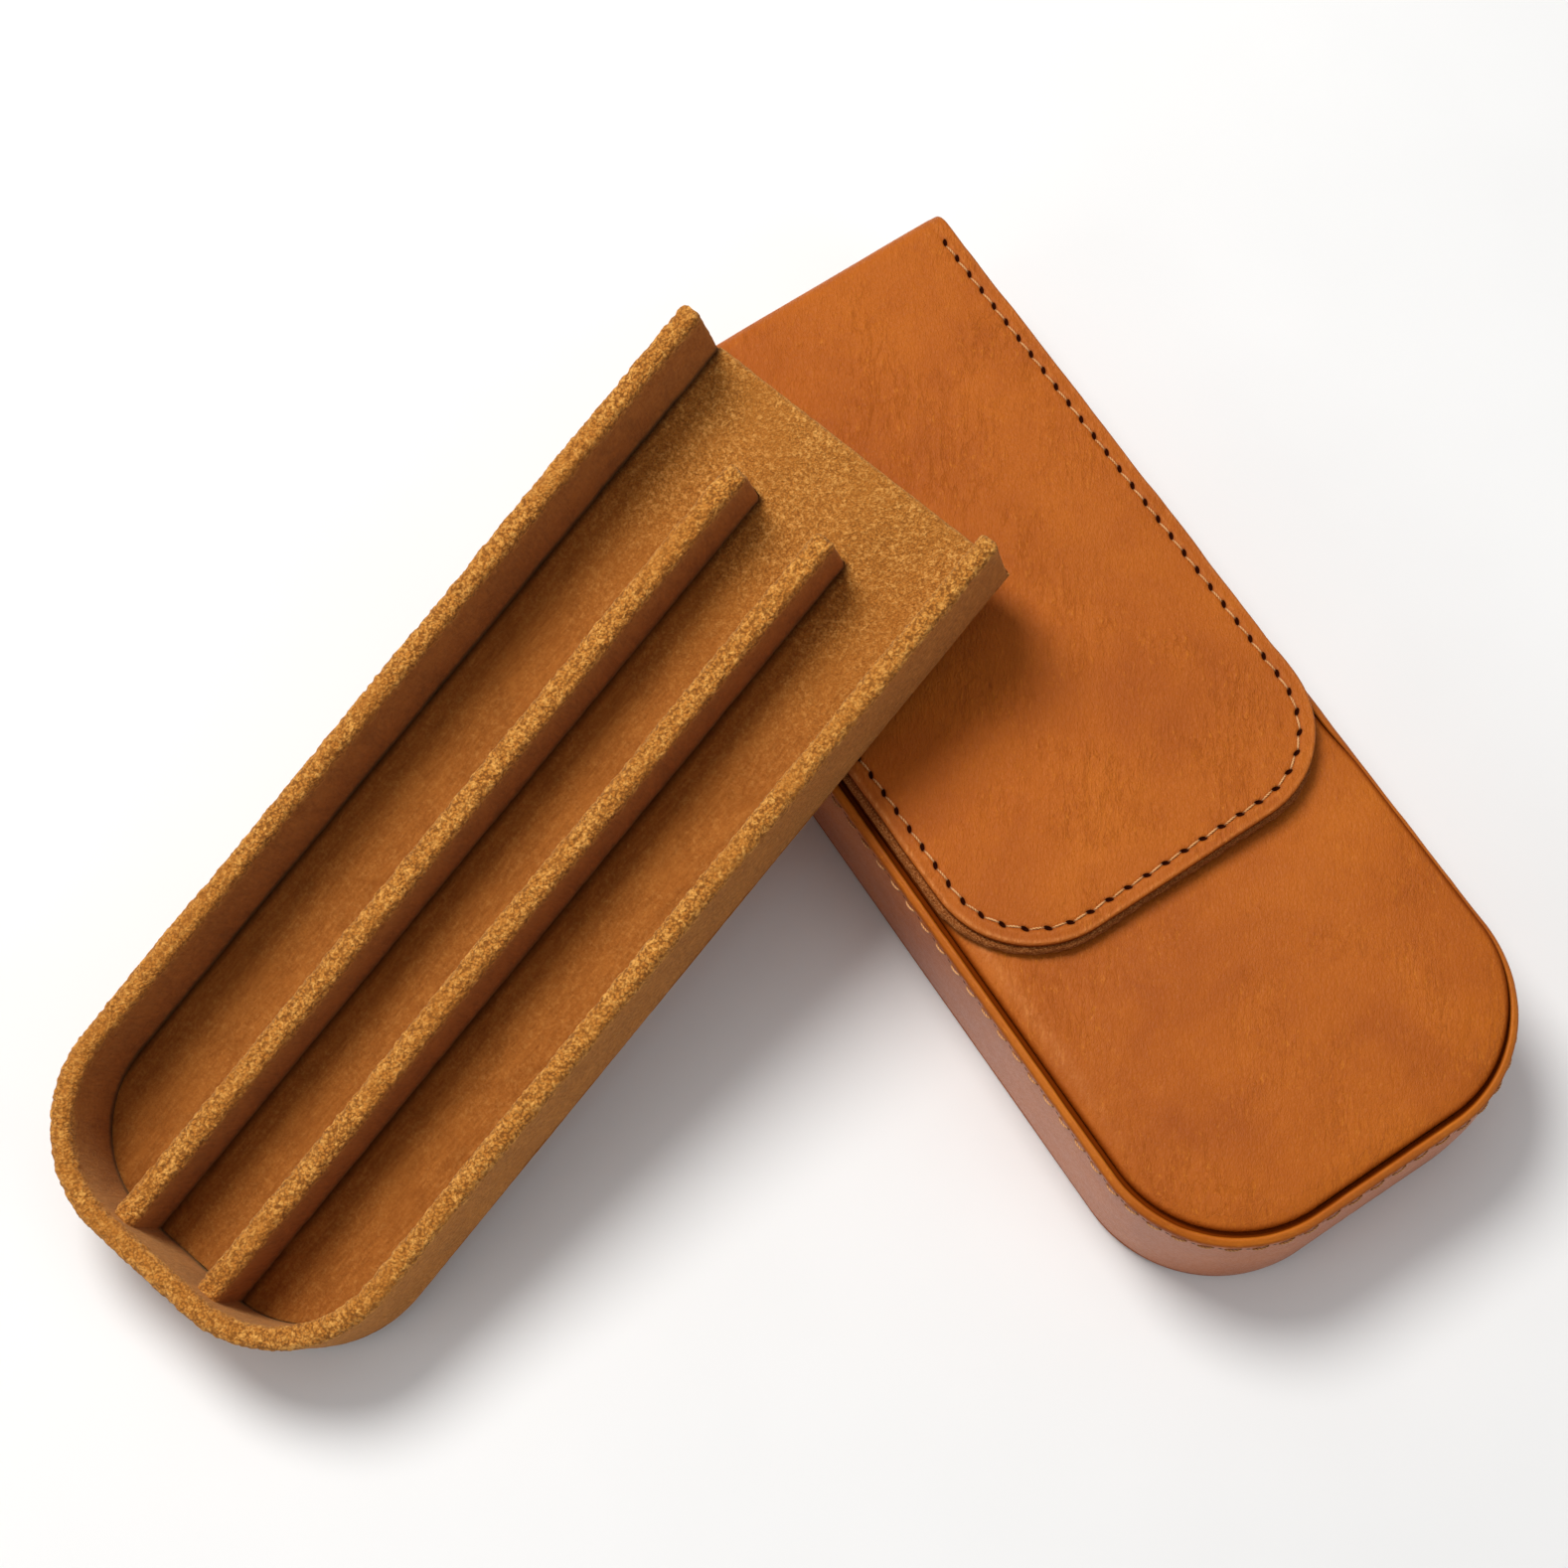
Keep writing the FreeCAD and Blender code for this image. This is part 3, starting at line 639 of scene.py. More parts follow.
def thread_mat():
    g = Nodes("waxed_thread")
    v = g.attr("tex", True)                      # x: along the thread, y: round it
    ply = g.math("SINE", g.math("ADD", g.math("MULTIPLY", g.attr("ply"), 6.2832), 0.0))
    fib = g.noise(v, 6.0, 3.0, 0.7)
    col = g.ramp(g.math("ADD", g.math("MULTIPLY", ply, 0.22), fib),
                 [(0.20, (0.30, 0.095, 0.022)), (0.48, (0.66, 0.27, 0.075)), (0.80, (0.86, 0.49, 0.19))])
    fade = g.noise(v, 0.06, 2.0, 0.5)
    col = g.mix(col, (0.78, 0.42, 0.17), g.math("MULTIPLY", g.band(fade, 0.42, 0.62), 0.5))
    # painted shade where the thread goes down into its holes
    dip = g.attr("edge")
    col = g.mix(col, (0.16, 0.05, 0.014), dip)
    n = g.bump(g.math("ADD", ply, fib), 0.05, 0.7)
    return g.set(color=col, rough=0.55, normal=n, spec=0.35, sheen=0.25, sheen_rough=0.4)


def board_mat():
    g = Nodes("grey_board")
    v = g.vmul(g.coord(), (1000.0, 1000.0, 1000.0))
    a = g.noise(v, 1.4, 5.0, 0.7)
    b = g.noise(g.vmul(v, (1.0, 1.0, 5.0)), 3.0, 3.0, 0.6)
    col = g.ramp(a, [(0.3, (0.17, 0.15, 0.125)), (0.5, (0.30, 0.27, 0.23)), (0.72, (0.42, 0.385, 0.33))])
    col = g.mix(col, (0.20, 0.17, 0.13), g.math("MULTIPLY", g.band(b, 0.5, 0.7), 0.4))
    return g.set(color=col, rough=0.9, normal=g.bump(g.math("ADD", a, b), 0.08, 0.7), spec=0.2)


def metal_mat():
    g = Nodes("magnet_steel")
    v = g.vmul(g.coord(), (1000.0, 1000.0, 1000.0))
    a = g.noise(g.vmul(v, (1.0, 6.0, 1.0)), 2.0, 4.0, 0.6)
    col = g.ramp(a, [(0.3, (0.44, 0.44, 0.45)), (0.7, (0.62, 0.62, 0.63))])
    return g.set(color=col, metal=1.0, rough=g.math("ADD", 0.22, g.math("MULTIPLY", a, 0.22)), normal=g.bump(a, 0.01, 0.4))


M_BACK = leather("tan_leather_back", tint=(0.97, 0.95, 0.95))
M_FRONT = leather("tan_leather_front")
M_FLAP = leather("tan_leather_flap", holes=(FLAP_PITCH, SEAM_IN, -0.34, 0.66, 0.37), raw=False, grain_mm=0.13)
M_BAND = leather("tan_leather_band", tint=(0.98, 1.0, 1.6), holes=(BAND_PITCH, 0.0, -0.16, 0.36, 0.16), spec_level=0.72, rough_base=0.29, grain_mm=0.04)
M_PIPE = leather("tan_leather_piping", tint=(1.05, 1.12, 1.1), grain_mm=0.04)
M_RAW = leather("flesh_side_split", tint=(0.86, 0.86, 1.6), raw=True)
M_LIN = suede("lining_suede", base=(0.40, 0.18, 0.050), dark=(0.16, 0.06, 0.015), lite=(0.60, 0.34, 0.12),
              smooth_col=(0.38, 0.165, 0.045), grain=3.0, sheen=0.25)
M_TRAY = suede("tray_suede", base=(0.61, 0.228, 0.036), lite=(0.90, 0.44, 0.11), grain=2.6, pit=0.42)
M_RIM = suede("tray_rim_suede", base=(0.63, 0.240, 0.038), lite=(0.95, 0.47, 0.11), smooth_col=(0.365, 0.108, 0.018), grain=2.0, pit=0.66)
M_THREAD = thread_mat()
M_BOARD = board_mat()
M_METAL = metal_mat()


# ------------------------------------------------------------------- flap shape
def flap_lift(s, x):
    """The free tip rises a little off the front panel, most at its right."""
    t = np.clip((-15.0 - s) / 16.4, 0, 1)
    return (0.70 + 0.75 * smooth(-12.0, 34.0, x)) * t * t


def fold_up(F):
    """(x, s, h) on the flap's leather -> row frame; h from the leather's mid-surface."""
    x, s, h = F[:, 0], F[:, 1], F[:, 2]
    arc = R_MID * math.pi / 2
    a = np.clip((s - FOLD_Y) / R_MID, 0, math.pi / 2)
    over = np.maximum(s - FOLD_Y - arc, 0)
    flat = s <= FOLD_Y
    y = np.where(flat, s, FOLD_Y + (R_MID + h) * np.sin(a))
    z = np.where(flat, UP_Z + R_MID + h + flap_lift(s, x), UP_Z + (R_MID + h) * np.cos(a) - over)
    return np.stack([x, y, z], -1)


def fold_low(F):
    """(x, s, h) on the back's leather, mid-surface at LTH/2; h positive outwards (down)."""
    x, s, h = F[:, 0], F[:, 1], F[:, 2]
    arc = R_MID * math.pi / 2
    a = np.clip((s - FOLD_Y) / R_MID, 0, math.pi / 2)
    over = np.maximum(s - FOLD_Y - arc, 0)
    flat = s <= FOLD_Y
    y = np.where(flat, s, FOLD_Y + (R_MID + h) * np.sin(a))
    z = np.where(flat, LTH / 2 - h, LOW_Z - (R_MID + h) * np.cos(a) + over)
    return np.stack([x, y, z], -1)


ARC = R_MID * math.pi / 2
FLAP_END = FOLD_Y + ARC + (UP_Z - SPLIT_Z)
BACK_END = FOLD_Y + ARC + (SPLIT_Z - LOW_Z)
SEAM_TOP = MOUTH - 1.0                       # the seam stops just before the fold

# flap leather
fp = Path(FXL, FXR, FLAP_END, TIP, 18.0, 0.46, 66, 72)
rows = (5.0, 4.2, 3.6, 3.25, 2.95, 2.75, 2.6, 2.45, 2.25, 1.95, 1.6, 1.25, 0.95, 0.72)
F, quads, ngons, dist, along, side = sheet(fp, edge_prof(0.7, -0.7, 6.0, 0.52, 0.30, rows, 5))
seam_L0 = float(np.interp(-SEAM_TOP, -(fp.P[:fp.I + 1] - fp.N[:fp.I + 1] * SEAM_IN)[:, 1], fp.arc(SEAM_IN)[:fp.I + 1]))
seam_s = along - seam_L0
seam_total = fp.arc(SEAM_IN)[-1] - 2 * seam_L0
N_FLAP = int(round(seam_total / FLAP_PITCH))
FLAP_P = seam_total / N_FLAP
seam_s = seam_s * (FLAP_PITCH / FLAP_P)      # whole stitches between both ends
seam_d = np.where((side > 0) & (dist < 5.9) & (F[:, 1] < SEAM_TOP + 0.05), dist, 99.0)
# the seam pulls the leather down a little, deeper at each needle hole
top = side > 0
u = (np.mod(seam_s / FLAP_PITCH, 1.0) - 0.5) * FLAP_PITCH
near = np.exp(-((dist - SEAM_IN) / 0.42) ** 2) * (F[:, 1] < SEAM_TOP) * top
pit = np.exp(-((dist - SEAM_IN) / 0.26) ** 2 - (u / 0.42) ** 2) * (F[:, 1] < SEAM_TOP) * top
F[:, 2] -= 0.16 * near + 0.42 * pit
# the rim outside the seam is pressed slightly thinner, the middle pads up
F[:, 2] += top * (-0.10 * smooth(2.4, 0.6, dist) + 0.16 * smooth(2.8, 9.0, dist) * (F[:, 1] < FOLD_Y - 1) * smooth(FOLD_Y - 1, FOLD_Y - 14, F[:, 1]))
F[:, 2] += top * 0.05 * fbm(np.column_stack([F[:, :2], np.zeros(len(F))]), 14.0, 2, 5) * smooth(0.5, 5.0, dist)
cg, sg = math.cos(GRAIN_TURN), math.sin(GRAIN_TURN)
tex = np.column_stack([cg * F[:, 0] - sg * F[:, 1], sg * F[:, 0] + cg * F[:, 1], F[:, 2]])
edge = smooth(0.42, 0.02, dist) * 0.75 * np.where(side > 0, 0.12, 1.0)
edge = np.where(F[:, 2] < -0.55, 0.9, edge)
# rim: painted highlight along the flap's rounded rim, stronger on the left and fading at the fold, plus a thin painted
# highlight line just outside the seam
rim = np.exp(-((dist - 0.50) / 0.32) ** 2) * top * (0.22 + 0.30 * smooth(8.0, -30.0, F[:, 0])) * smooth(FOLD_Y, FOLD_Y - 6, F[:, 1])
rim = rim + 0.13 * np.exp(-((dist - SEAM_IN + 0.62) / 0.26) ** 2) * top
# slightly hand-cut outline
wav = 0.10 * fbm(np.column_stack([along / 7.0, np.zeros(len(F)), np.zeros(len(F))]), 1.0, 2, 9) * smooth(2.0, 0.0, dist)
F[:, 0] += wav
flap = make("flap_leather_shell", fold_up(F), quads, ngons,
            {"tex": tex, "edge": edge, "rim": rim, "seam_s": seam_s, "seam_d": seam_d}, M_FLAP, sharp=55)
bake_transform(flap)
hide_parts("flap_leather", "spine_leather")

# back leather, lower fold and lower half of the spine
bp = Path(BACK_LO[0] + 0.45, BACK_HI[0] - 0.45, BACK_END, BACK_LO[1] + 0.45, 23.55, 0.75, 44, 46)
F, quads, ngons, dist, along, side = sheet(bp, edge_prof(0.7, -0.7, 4.0, 0.5, 0.35, (2.8, 1.9, 1.2, 0.75), 4))
# narrow from the back's width to the spine's width just below the fold
w = smooth(79.5, FOLD_Y - 0.3, F[:, 1])
half_b = (BACK_HI[0] - BACK_LO[0]) / 2
left, right = BACK_LO[0] + (FXL - BACK_LO[0]) * w, BACK_HI[0] + (FXR - BACK_HI[0]) * w
F[:, 0] = left + (F[:, 0] - BACK_LO[0]) / (2 * half_b) * (right - left)
tex = np.column_stack([F[:, 0] + 200.0, F[:, 1], F[:, 2]])
edge = smooth(0.5, 0.02, dist) * 0.25
F[:, 2] += (side > 0) * 0.05 * fbm(np.column_stack([F[:, :2], np.zeros(len(F))]), 14.0, 2, 31) * smooth(0.5, 5.0, dist) * smooth(FOLD_Y, FOLD_Y - 6, F[:, 1]) * 0
back = make("back_leather_shell", fold_low(F), quads, ngons, {"tex": tex, "edge": edge}, M_BACK, sharp=55)
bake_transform(back)
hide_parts("back_leather", "spine_leather")

# flap lining: the flesh-side split under the flap, its fuzzy cut edge a little proud
lp = Path(FXL - 1.0, FXR + 0.2, FLIN_HI[1], TIP - 0.65, 18.6, 0.5, 62, 66)
F, quads, ngons, dist, along, side = sheet(lp, edge_prof(FLIN_HI[2], FLIN_LO[2], 4.0, 0.95, 0.25, (3.2, 2.6, 2.1, 1.7, 1.3), 7))
edge = np.maximum(smooth(1.9, 1.2, dist), 0.25)
tipw = 0.30 + 0.55 * smooth(-8.0, -24.0, F[:, 1])
# painted shade: a dark line in the gap under the flap leather's edge and along the lining's lower edge where it meets
# the front panel
painted_gap_shade = np.where(side > 0, smooth(0.85, 1.10, dist) * tipw, 0.0) + smooth(FLIN_LO[2] + 0.35, FLIN_LO[2] + 0.05, F[:, 2]) * 0.7 * smooth(1.3, 0.4, dist)
edge = np.where(side < 0, np.maximum(edge, 0.55), edge)
F[:, 2] += flap_lift(F[:, 1], F[:, 0])


def fuzz(amp, size, seed, weight=None, low=0.0, low_size=6.0):
    def run(co, n):
        k = amp * fbm(co, size, 2, seed)
        if low:
            k = k + low * fbm(co, low_size, 2, seed + 7)
        if weight is not None:
            k = k * weight
        return co + n * k[:, None]
    return run


lin = make("flap_lining_split", F, quads, ngons, {"tex": F.copy() + (0, 0, 0), "edge": edge, "painted_gap_shade": np.clip(painted_gap_shade, 0, 1)}, M_RAW,
           move=fuzz(0.17, 0.8, 3, smooth(1.3, 0.5, dist) * smooth(FOLD_Y, FOLD_Y - 4, F[:, 1]) * (0.55 + 0.45 * smooth(0.0, -14.0, F[:, 1])), 0.15, 5.0))
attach(lin, "flap")
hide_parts("flap_lining")


# ------------------------------------------------------------------------ seams
def stitch(bag, A, B, up, out, rad, lift, dip, plies=2.6, rings=15, seg=10, bias=0.0):
    """One visible thread length from hole A to hole B. up: surface normal; out: unit vector across."""
    A, B, up, out = map(np.asarray, (A, B, up, out))
    d = B - A
    length = np.linalg.norm(d)
    t = np.linspace(0, 1, rings)
    h = -dip + (dip + lift) * np.sin(np.pi * t) ** 0.55
    centre = A + d * t[:, None] + up * h[:, None]
    r = rad * (0.62 + 0.38 * np.sin(np.pi * t) ** 0.5)
    ang = np.arange(seg) / seg * 2 * math.pi
    tw = 2 * math.pi * plies * t
    rr = r[:, None] * (1 + 0.13 * np.cos(2 * (ang[None] - tw[:, None])))
    tang = np.gradient(centre, axis=0)
    tang /= np.linalg.norm(tang, axis=1, keepdims=True)
    e1 = np.cross(tang, out)
    e1 /= np.linalg.norm(e1, axis=1, keepdims=True)
    e2 = np.cross(tang, e1)
    co = (centre[:, None, :] + rr[..., None] * (np.cos(ang)[None, :, None] * e1[:, None, :]
                                                + np.sin(ang)[None, :, None] * e2[:, None, :])).reshape(-1, 3)
    q = np.arange(rings)[:, None] * seg + np.arange(seg)[None]
    qn = np.roll(q, -1, 1)
    quads = np.stack([q[:-1], qn[:-1], qn[1:], q[1:]], -1).reshape(-1, 4)
    tex = np.column_stack([np.repeat(t * length + A[0] * 3 + A[1] * 5, seg), np.tile(ang * rad, rings), np.zeros(rings * seg)])
    ply = ((2 * (ang[None] - tw[:, None])) / (2 * math.pi)).reshape(-1)
    # edge: painted shade on the thread's ends where it goes down into the holes
    edge = np.repeat(smooth(0.26, 0.0, np.minimum(t, 1 - t)) * 0.95, seg)
    bag.add(co, quads, [q[0][::-1], q[-1]], tex=tex, ply=ply, edge=edge)


bag = Bag()
half_hole = 0.50
for i in range(N_FLAP - 1):
    sa, sb = (i + 0.5) * FLAP_P + half_hole, (i + 1.5) * FLAP_P - half_hole
    (pa,), (na,), _ = fp.at(np.array([sa + seam_L0]), SEAM_IN)
    (pb,), (nb,), _ = fp.at(np.array([sb + seam_L0]), SEAM_IN)
    jit = 0.05 * (_hash(np.array([i]), np.array([3]), np.array([1]), 4)[0] - 0.5)
    pa, pb = pa + na * (0.07 + jit), pb - nb * (0.20 + jit)
    sz = 0.7 - 0.14
    a3 = fold_up(np.array([[pa[0], pa[1], sz]]))[0]
    b3 = fold_up(np.array([[pb[0], pb[1], sz]]))[0]
    stitch(bag, a3, b3, (0, 0, 1), (na[0], na[1], 0), 0.165, 0.15, 0.30)
ob = bag.make("flap_seam_thread", material=M_THREAD)
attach(ob, "flap")
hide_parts("flap_stitching")

# ---------------------------------------------------------------- the side band
bx = BAND_HI[0]
band_top = BAND_HI[2]
cp = Path(BAND_LO[0], BAND_HI[0], MOUTH, BAND_LO[1], 23.65, 0.85, 56, 44)
z0, z1 = BAND_LO[2], band_top
outline = rounded([(0.0, z0), (0.0, z1), (LTH, z1), (LTH, z0)], [0.45, 0.55, 0.2, 0.2], 5)
outline = densify(outline, lambda m: 0.6 if m[1] > z1 - 4.5 and m[0] < 0.3 else 1.3)
outline = [(u - 0.28 * math.sin(math.pi * min(max((z - z0) / (z1 - z0), 0), 1)) ** 0.8 if u < 0.5 else u, z) for u, z in outline]
co, quads, ngons, ss, pl, m = sweep(cp.P, cp.N, outline, 0.0)
prof_arr = np.tile(np.array(outline), (m, 1))
SEAM_Z = 23.75
out_face = prof_arr[:, 0] < 0.5
band_L0 = 3.0
band_total = cp.arc(0)[-1] - 2 * band_L0
N_BAND = int(round(band_total / BAND_PITCH))
BAND_P = band_total / N_BAND
bs = (ss - band_L0) * BAND_PITCH / BAND_P
inside = (ss > band_L0) & (ss < cp.arc(0)[-1] - band_L0)
bd = np.where(out_face & inside, prof_arr[:, 1] - SEAM_Z, 99.0)
nrm3 = np.column_stack([np.repeat(cp.N, len(outline), 0), np.zeros(len(co))])
dent = 0.16 * np.exp(-((prof_arr[:, 1] - SEAM_Z) / 0.55) ** 2) * out_face * inside
co = co - nrm3 * dent[:, None]
co = co + nrm3 * (0.05 * fbm(np.column_stack([ss, prof_arr[:, 1] * 1.6, np.zeros(len(ss))]), 12.0, 2, 13) * out_face)[:, None]
tex = np.column_stack([prof_arr[:, 1] + prof_arr[:, 0] + 60.0, ss, np.zeros(len(ss))])
edge = np.maximum(smooth(z0 + 0.6, z0 + 0.1, prof_arr[:, 1]) * 0.30, smooth(z1 - 0.35, z1 - 0.05, prof_arr[:, 1]) * 0.85)
edge = np.where(prof_arr[:, 0] > 1.0, 0.5, edge)
bag = Bag()
bag.add(co, quads, ngons, tex=tex, edge=edge, seam_s=bs, seam_d=bd)
# turned edge over the mouth ends of the wall's leather, board and lining
deep = SBL_HI[0]
for sgn in (-1, 1):
    x_out, x_in = BAND_HI[0] - 0.02, SBL_HI[0] - 0.62
    cx, half = (x_out + x_in) / 2, (x_out - x_in) / 2
    zz = np.linspace(z0 + 0.05, SBL_HI[2], 44)
    ang = np.linspace(0, math.pi, 17)
    px = cx + half * np.cos(ang)
    py = MOUTH - 0.35 + 1.0 * np.sin(ang) ** 0.8
    loop = [(a, b) for a, b in zip(px, py)] + [(cx - half, MOUTH - 0.8), (cx + half, MOUTH - 0.8)]
    loop = np.array(loop)
    K = len(loop)
    c = np.concatenate([np.column_stack([sgn * (loop[:, 0] + 0.04 * vnoise(np.array([[z / 3, 0, sgn]]), 3)[0]), loop[:, 1], np.full(K, z)]) for z in zz])
    r = np.arange(len(zz))[:, None] * K + np.arange(K)[None]
    rn = np.roll(r, -1, 1)
    q = np.stack([r[:-1], r[1:], rn[1:], rn[:-1]], -1).reshape(-1, 4)
    n_ = len(c)
    bag.add(c, q, [r[0], r[-1][::-1]], tex=np.column_stack([c[:, 2] + 60, c[:, 0] + 300, c[:, 1]]), edge=np.full(n_, 0.12),
            seam_s=np.zeros(n_), seam_d=np.full(n_, 99.0))
band = bag.make("side_band_shell", material=M_BAND, sharp=60)
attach(band, "case")
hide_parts("side_band_leather")

# slanted stitches round the band
bag = Bag()
for i in range(N_BAND - 1):
    sa, sb = (i + 0.5) * BAND_P + 0.42, (i + 1.5) * BAND_P - 0.95
    (pa,), (na,), _ = cp.at(np.array([sa + band_L0]))
    (pb,), (nb,), _ = cp.at(np.array([sb + band_L0]))
    jit = 0.10 * (_hash(np.array([i]), np.array([7]), np.array([2]), 8)[0] - 0.5)
    a3 = np.array([*(pa + na * 0.02), SEAM_Z - 0.36 + jit])
    b3 = np.array([*(pb + nb * 0.02), SEAM_Z + 0.32 + jit])
    n3 = np.array([*(na + nb), 0.0])
    n3 /= np.linalg.norm(n3)
    stitch(bag, a3, b3, n3, (0, 0, 1), 0.16, 0.24, 0.22)
ob = bag.make("side_band_thread", material=M_THREAD)
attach(ob, "case")
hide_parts("side_band_stitching")

# ---------------------------------------------------------------------- piping
pr, pin = 1.1, 1.3
pp = Path(BACK_LO[0] + pin, BACK_HI[0] - pin, MOUTH - 0.6, BACK_LO[1] + pin, 24.0 - pin, 0.7, 60, 54)
zc = PIPE_HI[2] - pr
roll = [(0.42, 24.84), (0.34, 25.08), (0.35, 25.36), (0.46, 25.62), (0.68, 25.82), (0.90, 25.98), (1.12, 26.12), (1.34, 26.16),
        (1.54, 26.06), (1.68, 25.86), (1.76, 25.60), (1.90, 25.36), (2.20, 25.27), (3.40, 25.25), (3.40, 25.15), (2.00, 25.10), (1.75, 24.84)]
prof = densify([(u - pin, z) for u, z in roll], lambda m: 0.22)
co, quads, ngons, ss, pl, m = sweep(pp.P, pp.N, prof, 0.3)
pu = np.tile(np.array(prof)[:, 0] + pin, m)
tex = np.column_stack([pl + 90.0, ss, np.zeros(len(ss))])
# painted shade on the roll's outer flank, under the roll and on its inner side in the groove beside the front panel
edge = np.maximum(smooth(1.50, 1.85, pu) * 0.97, 0.30 * smooth(0.72, 0.45, pu))
edge = np.maximum(edge, smooth(25.05, 24.88, co[:, 2]) * 0.6)


def right_side(x, y):
    """1 along the right side below the flap, where the padded panel covers most of the piping."""
    return smooth(18.0, 33.5, x) * smooth(-84.0, -64.0, y) * smooth(-22.0, -33.0, y)


def pipe_move(co, n):
    k = 0.05 * fbm(np.column_stack([ss, pl * 0.8, np.zeros(len(ss))]), 5.0, 3, 21) * (pu < 1.9)
    co = co + n * k[:, None]
    w = right_side(co[:, 0], co[:, 1])
    co[:, 0] += w * (pu - 0.34) * 0.40
    co[:, 2] -= w * 0.36 * np.clip((co[:, 2] - 24.84) / 1.3, 0, 1)
    return co


pipe = make("front_piping_roll", co, quads, ngons, {"tex": tex, "edge": edge}, M_PIPE, move=pipe_move)
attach(pipe, "case")
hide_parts("front_piping")

# ----------------------------------------------------------------- front panel
fx = FRONT_HI[0]
qp = Path(FRONT_LO[0] - 0.15, FRONT_HI[0] + 0.75, MOUTH, FRONT_LO[1] - 0.15, 21.7, 0.85, 46, 50)
rows = (5.0, 4.2, 3.5, 2.9, 2.4, 2.0, 1.6, 1.25, 0.95, 0.7)
F, quads, ngons, dist, along, side = sheet(qp, edge_prof(FRONT_HI[2], FRONT_LO[2], 6.0, 0.45, 0.2, rows, 5))
top = side > 0
shoulder = np.clip(1 - dist / 4.6, 0, 1)
open_part = smooth(TIP - 1.0, TIP - 14.0, F[:, 1])
w_right = right_side(F[:, 0], F[:, 1])
F[:, 2] += top * (-0.92 * shoulder ** 2.2) * (1 - 0.50 * w_right)
F[:, 0] += 0.62 * w_right
F[:, 2] += top * open_part * 0.50 * smooth(1.0, 14.0, dist)
F[:, 2] += top * 0.06 * fbm(np.column_stack([F[:, :2], np.zeros(len(F))]), 16.0, 2, 41) * smooth(1, 6, dist) * open_part
tex = np.column_stack([cg * F[:, 0] - sg * F[:, 1] + 400.0, sg * F[:, 0] + cg * F[:, 1] + 50, F[:, 2]])
# the panel's cut edge painted dark: partly edge colour, partly painted shade for the groove along the piping
edge = smooth(1.15, 0.10, dist) * 0.90
edge = np.where(side < 0, 0.95, edge)
# rim: painted highlight on the padded shoulder at the panel's lower left
rim = np.exp(-((dist - 2.9) / 1.2) ** 2) * top * 0.26 * smooth(-14.0, -31.0, F[:, 0]) * smooth(-70.0, -40.0, F[:, 1])
bag = Bag()
bag.add(F, quads, ngons, tex=tex, edge=edge, rim=rim)
# turned edge over the mouth end of the panel, its board and its lining
zt, zb = FRONT_HI[2] - 0.02, FRL_LO[2] + 0.02
cz, half = (zt + zb) / 2, (zt - zb) / 2
xx = np.linspace(FRONT_LO[0] + 0.1, FRONT_HI[0] - 0.1, 150)
ang = np.linspace(0, math.pi, 17)
loop = [(MOUTH - 0.35 + 1.0 * math.sin(a) ** 0.8, cz + half * math.cos(a)) for a in ang] + [(MOUTH - 0.8, cz - half), (MOUTH - 0.8, cz + half)]
loop = np.array(loop)
K = len(loop)
c = np.concatenate([np.column_stack([np.full(K, x), loop[:, 0], loop[:, 1]]) for x in xx])
r = np.arange(len(xx))[:, None] * K + np.arange(K)[None]
rn = np.roll(r, -1, 1)
bag.add(c, np.stack([r[:-1], r[1:], rn[1:], rn[:-1]], -1).reshape(-1, 4), [r[0], r[-1][::-1]],
        tex=np.column_stack([c[:, 0] + 400, c[:, 2] * 1.0 + 140, c[:, 1]]), edge=np.full(len(c), 0.08), rim=np.zeros(len(c)))
front = bag.make("front_panel_shell", material=M_FRONT, sharp=62)
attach(front, "case")
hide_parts("front_leather")


# -------------------------------------------------------------------- linings
def lining_plate(name, lo, hi, rad, node, xshift=0.0, seed=0, turn=None):
    p = Path(lo[0], hi[0], hi[1], lo[1], rad, 1.0, 26, 52)
    F, quads, ngons, dist, along, side = sheet(p, edge_prof(hi[2], lo[2], 2.0, 0.15, 0.15, (1.0,), 2))
    bag = Bag()
    bag.add(F, quads, ngons, tex=np.column_stack([F[:, 0] + xshift, F[:, 1], F[:, 2]]), edge=np.zeros(len(F)), nap=np.full(len(F), 0.35))
    if turn is not None:
        zt, zb = turn
        cz, half = (zt + zb) / 2, (zt - zb) / 2
        xx = np.linspace(lo[0] + 0.1, hi[0] - 0.1, 110)
        ang = np.linspace(0, math.pi, 11)
        loop = [(MOUTH - 0.3 + 0.55 * math.sin(a) ** 0.8, cz + half * math.cos(a)) for a in ang] + [(MOUTH - 0.7, cz - half), (MOUTH - 0.7, cz + half)]
        loop = np.array(loop)
        K = len(loop)
        c = np.concatenate([np.column_stack([np.full(K, x), loop[:, 0], loop[:, 1]]) for x in xx])
        r = np.arange(len(xx))[:, None] * K + np.arange(K)[None]
        rn = np.roll(r, -1, 1)
        bag.add(c, np.stack([r[:-1], r[1:], rn[1:], rn[:-1]], -1).reshape(-1, 4), [r[0], r[-1][::-1]],
                tex=np.column_stack([c[:, 0] + xshift, c[:, 2] + 84, c[:, 1]]), edge=np.zeros(len(c)), nap=np.full(len(c), 0.6))
    ob = bag.make(name, material=M_LIN, sharp=60, move=fuzz(0.02, 0.9, seed))
    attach(ob, "case")
    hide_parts(node)
    return ob


lining_plate("back_lining_sheet", BLIN_LO, BLIN_HI, 20.45, "back_lining", 500, 51, (BLIN_HI[2] - 0.01, BACK_LO[2] + 1.46))
lining_plate("front_lining_sheet", FRL_LO, FRL_HI, 21.4, "front_lining", 600, 52)

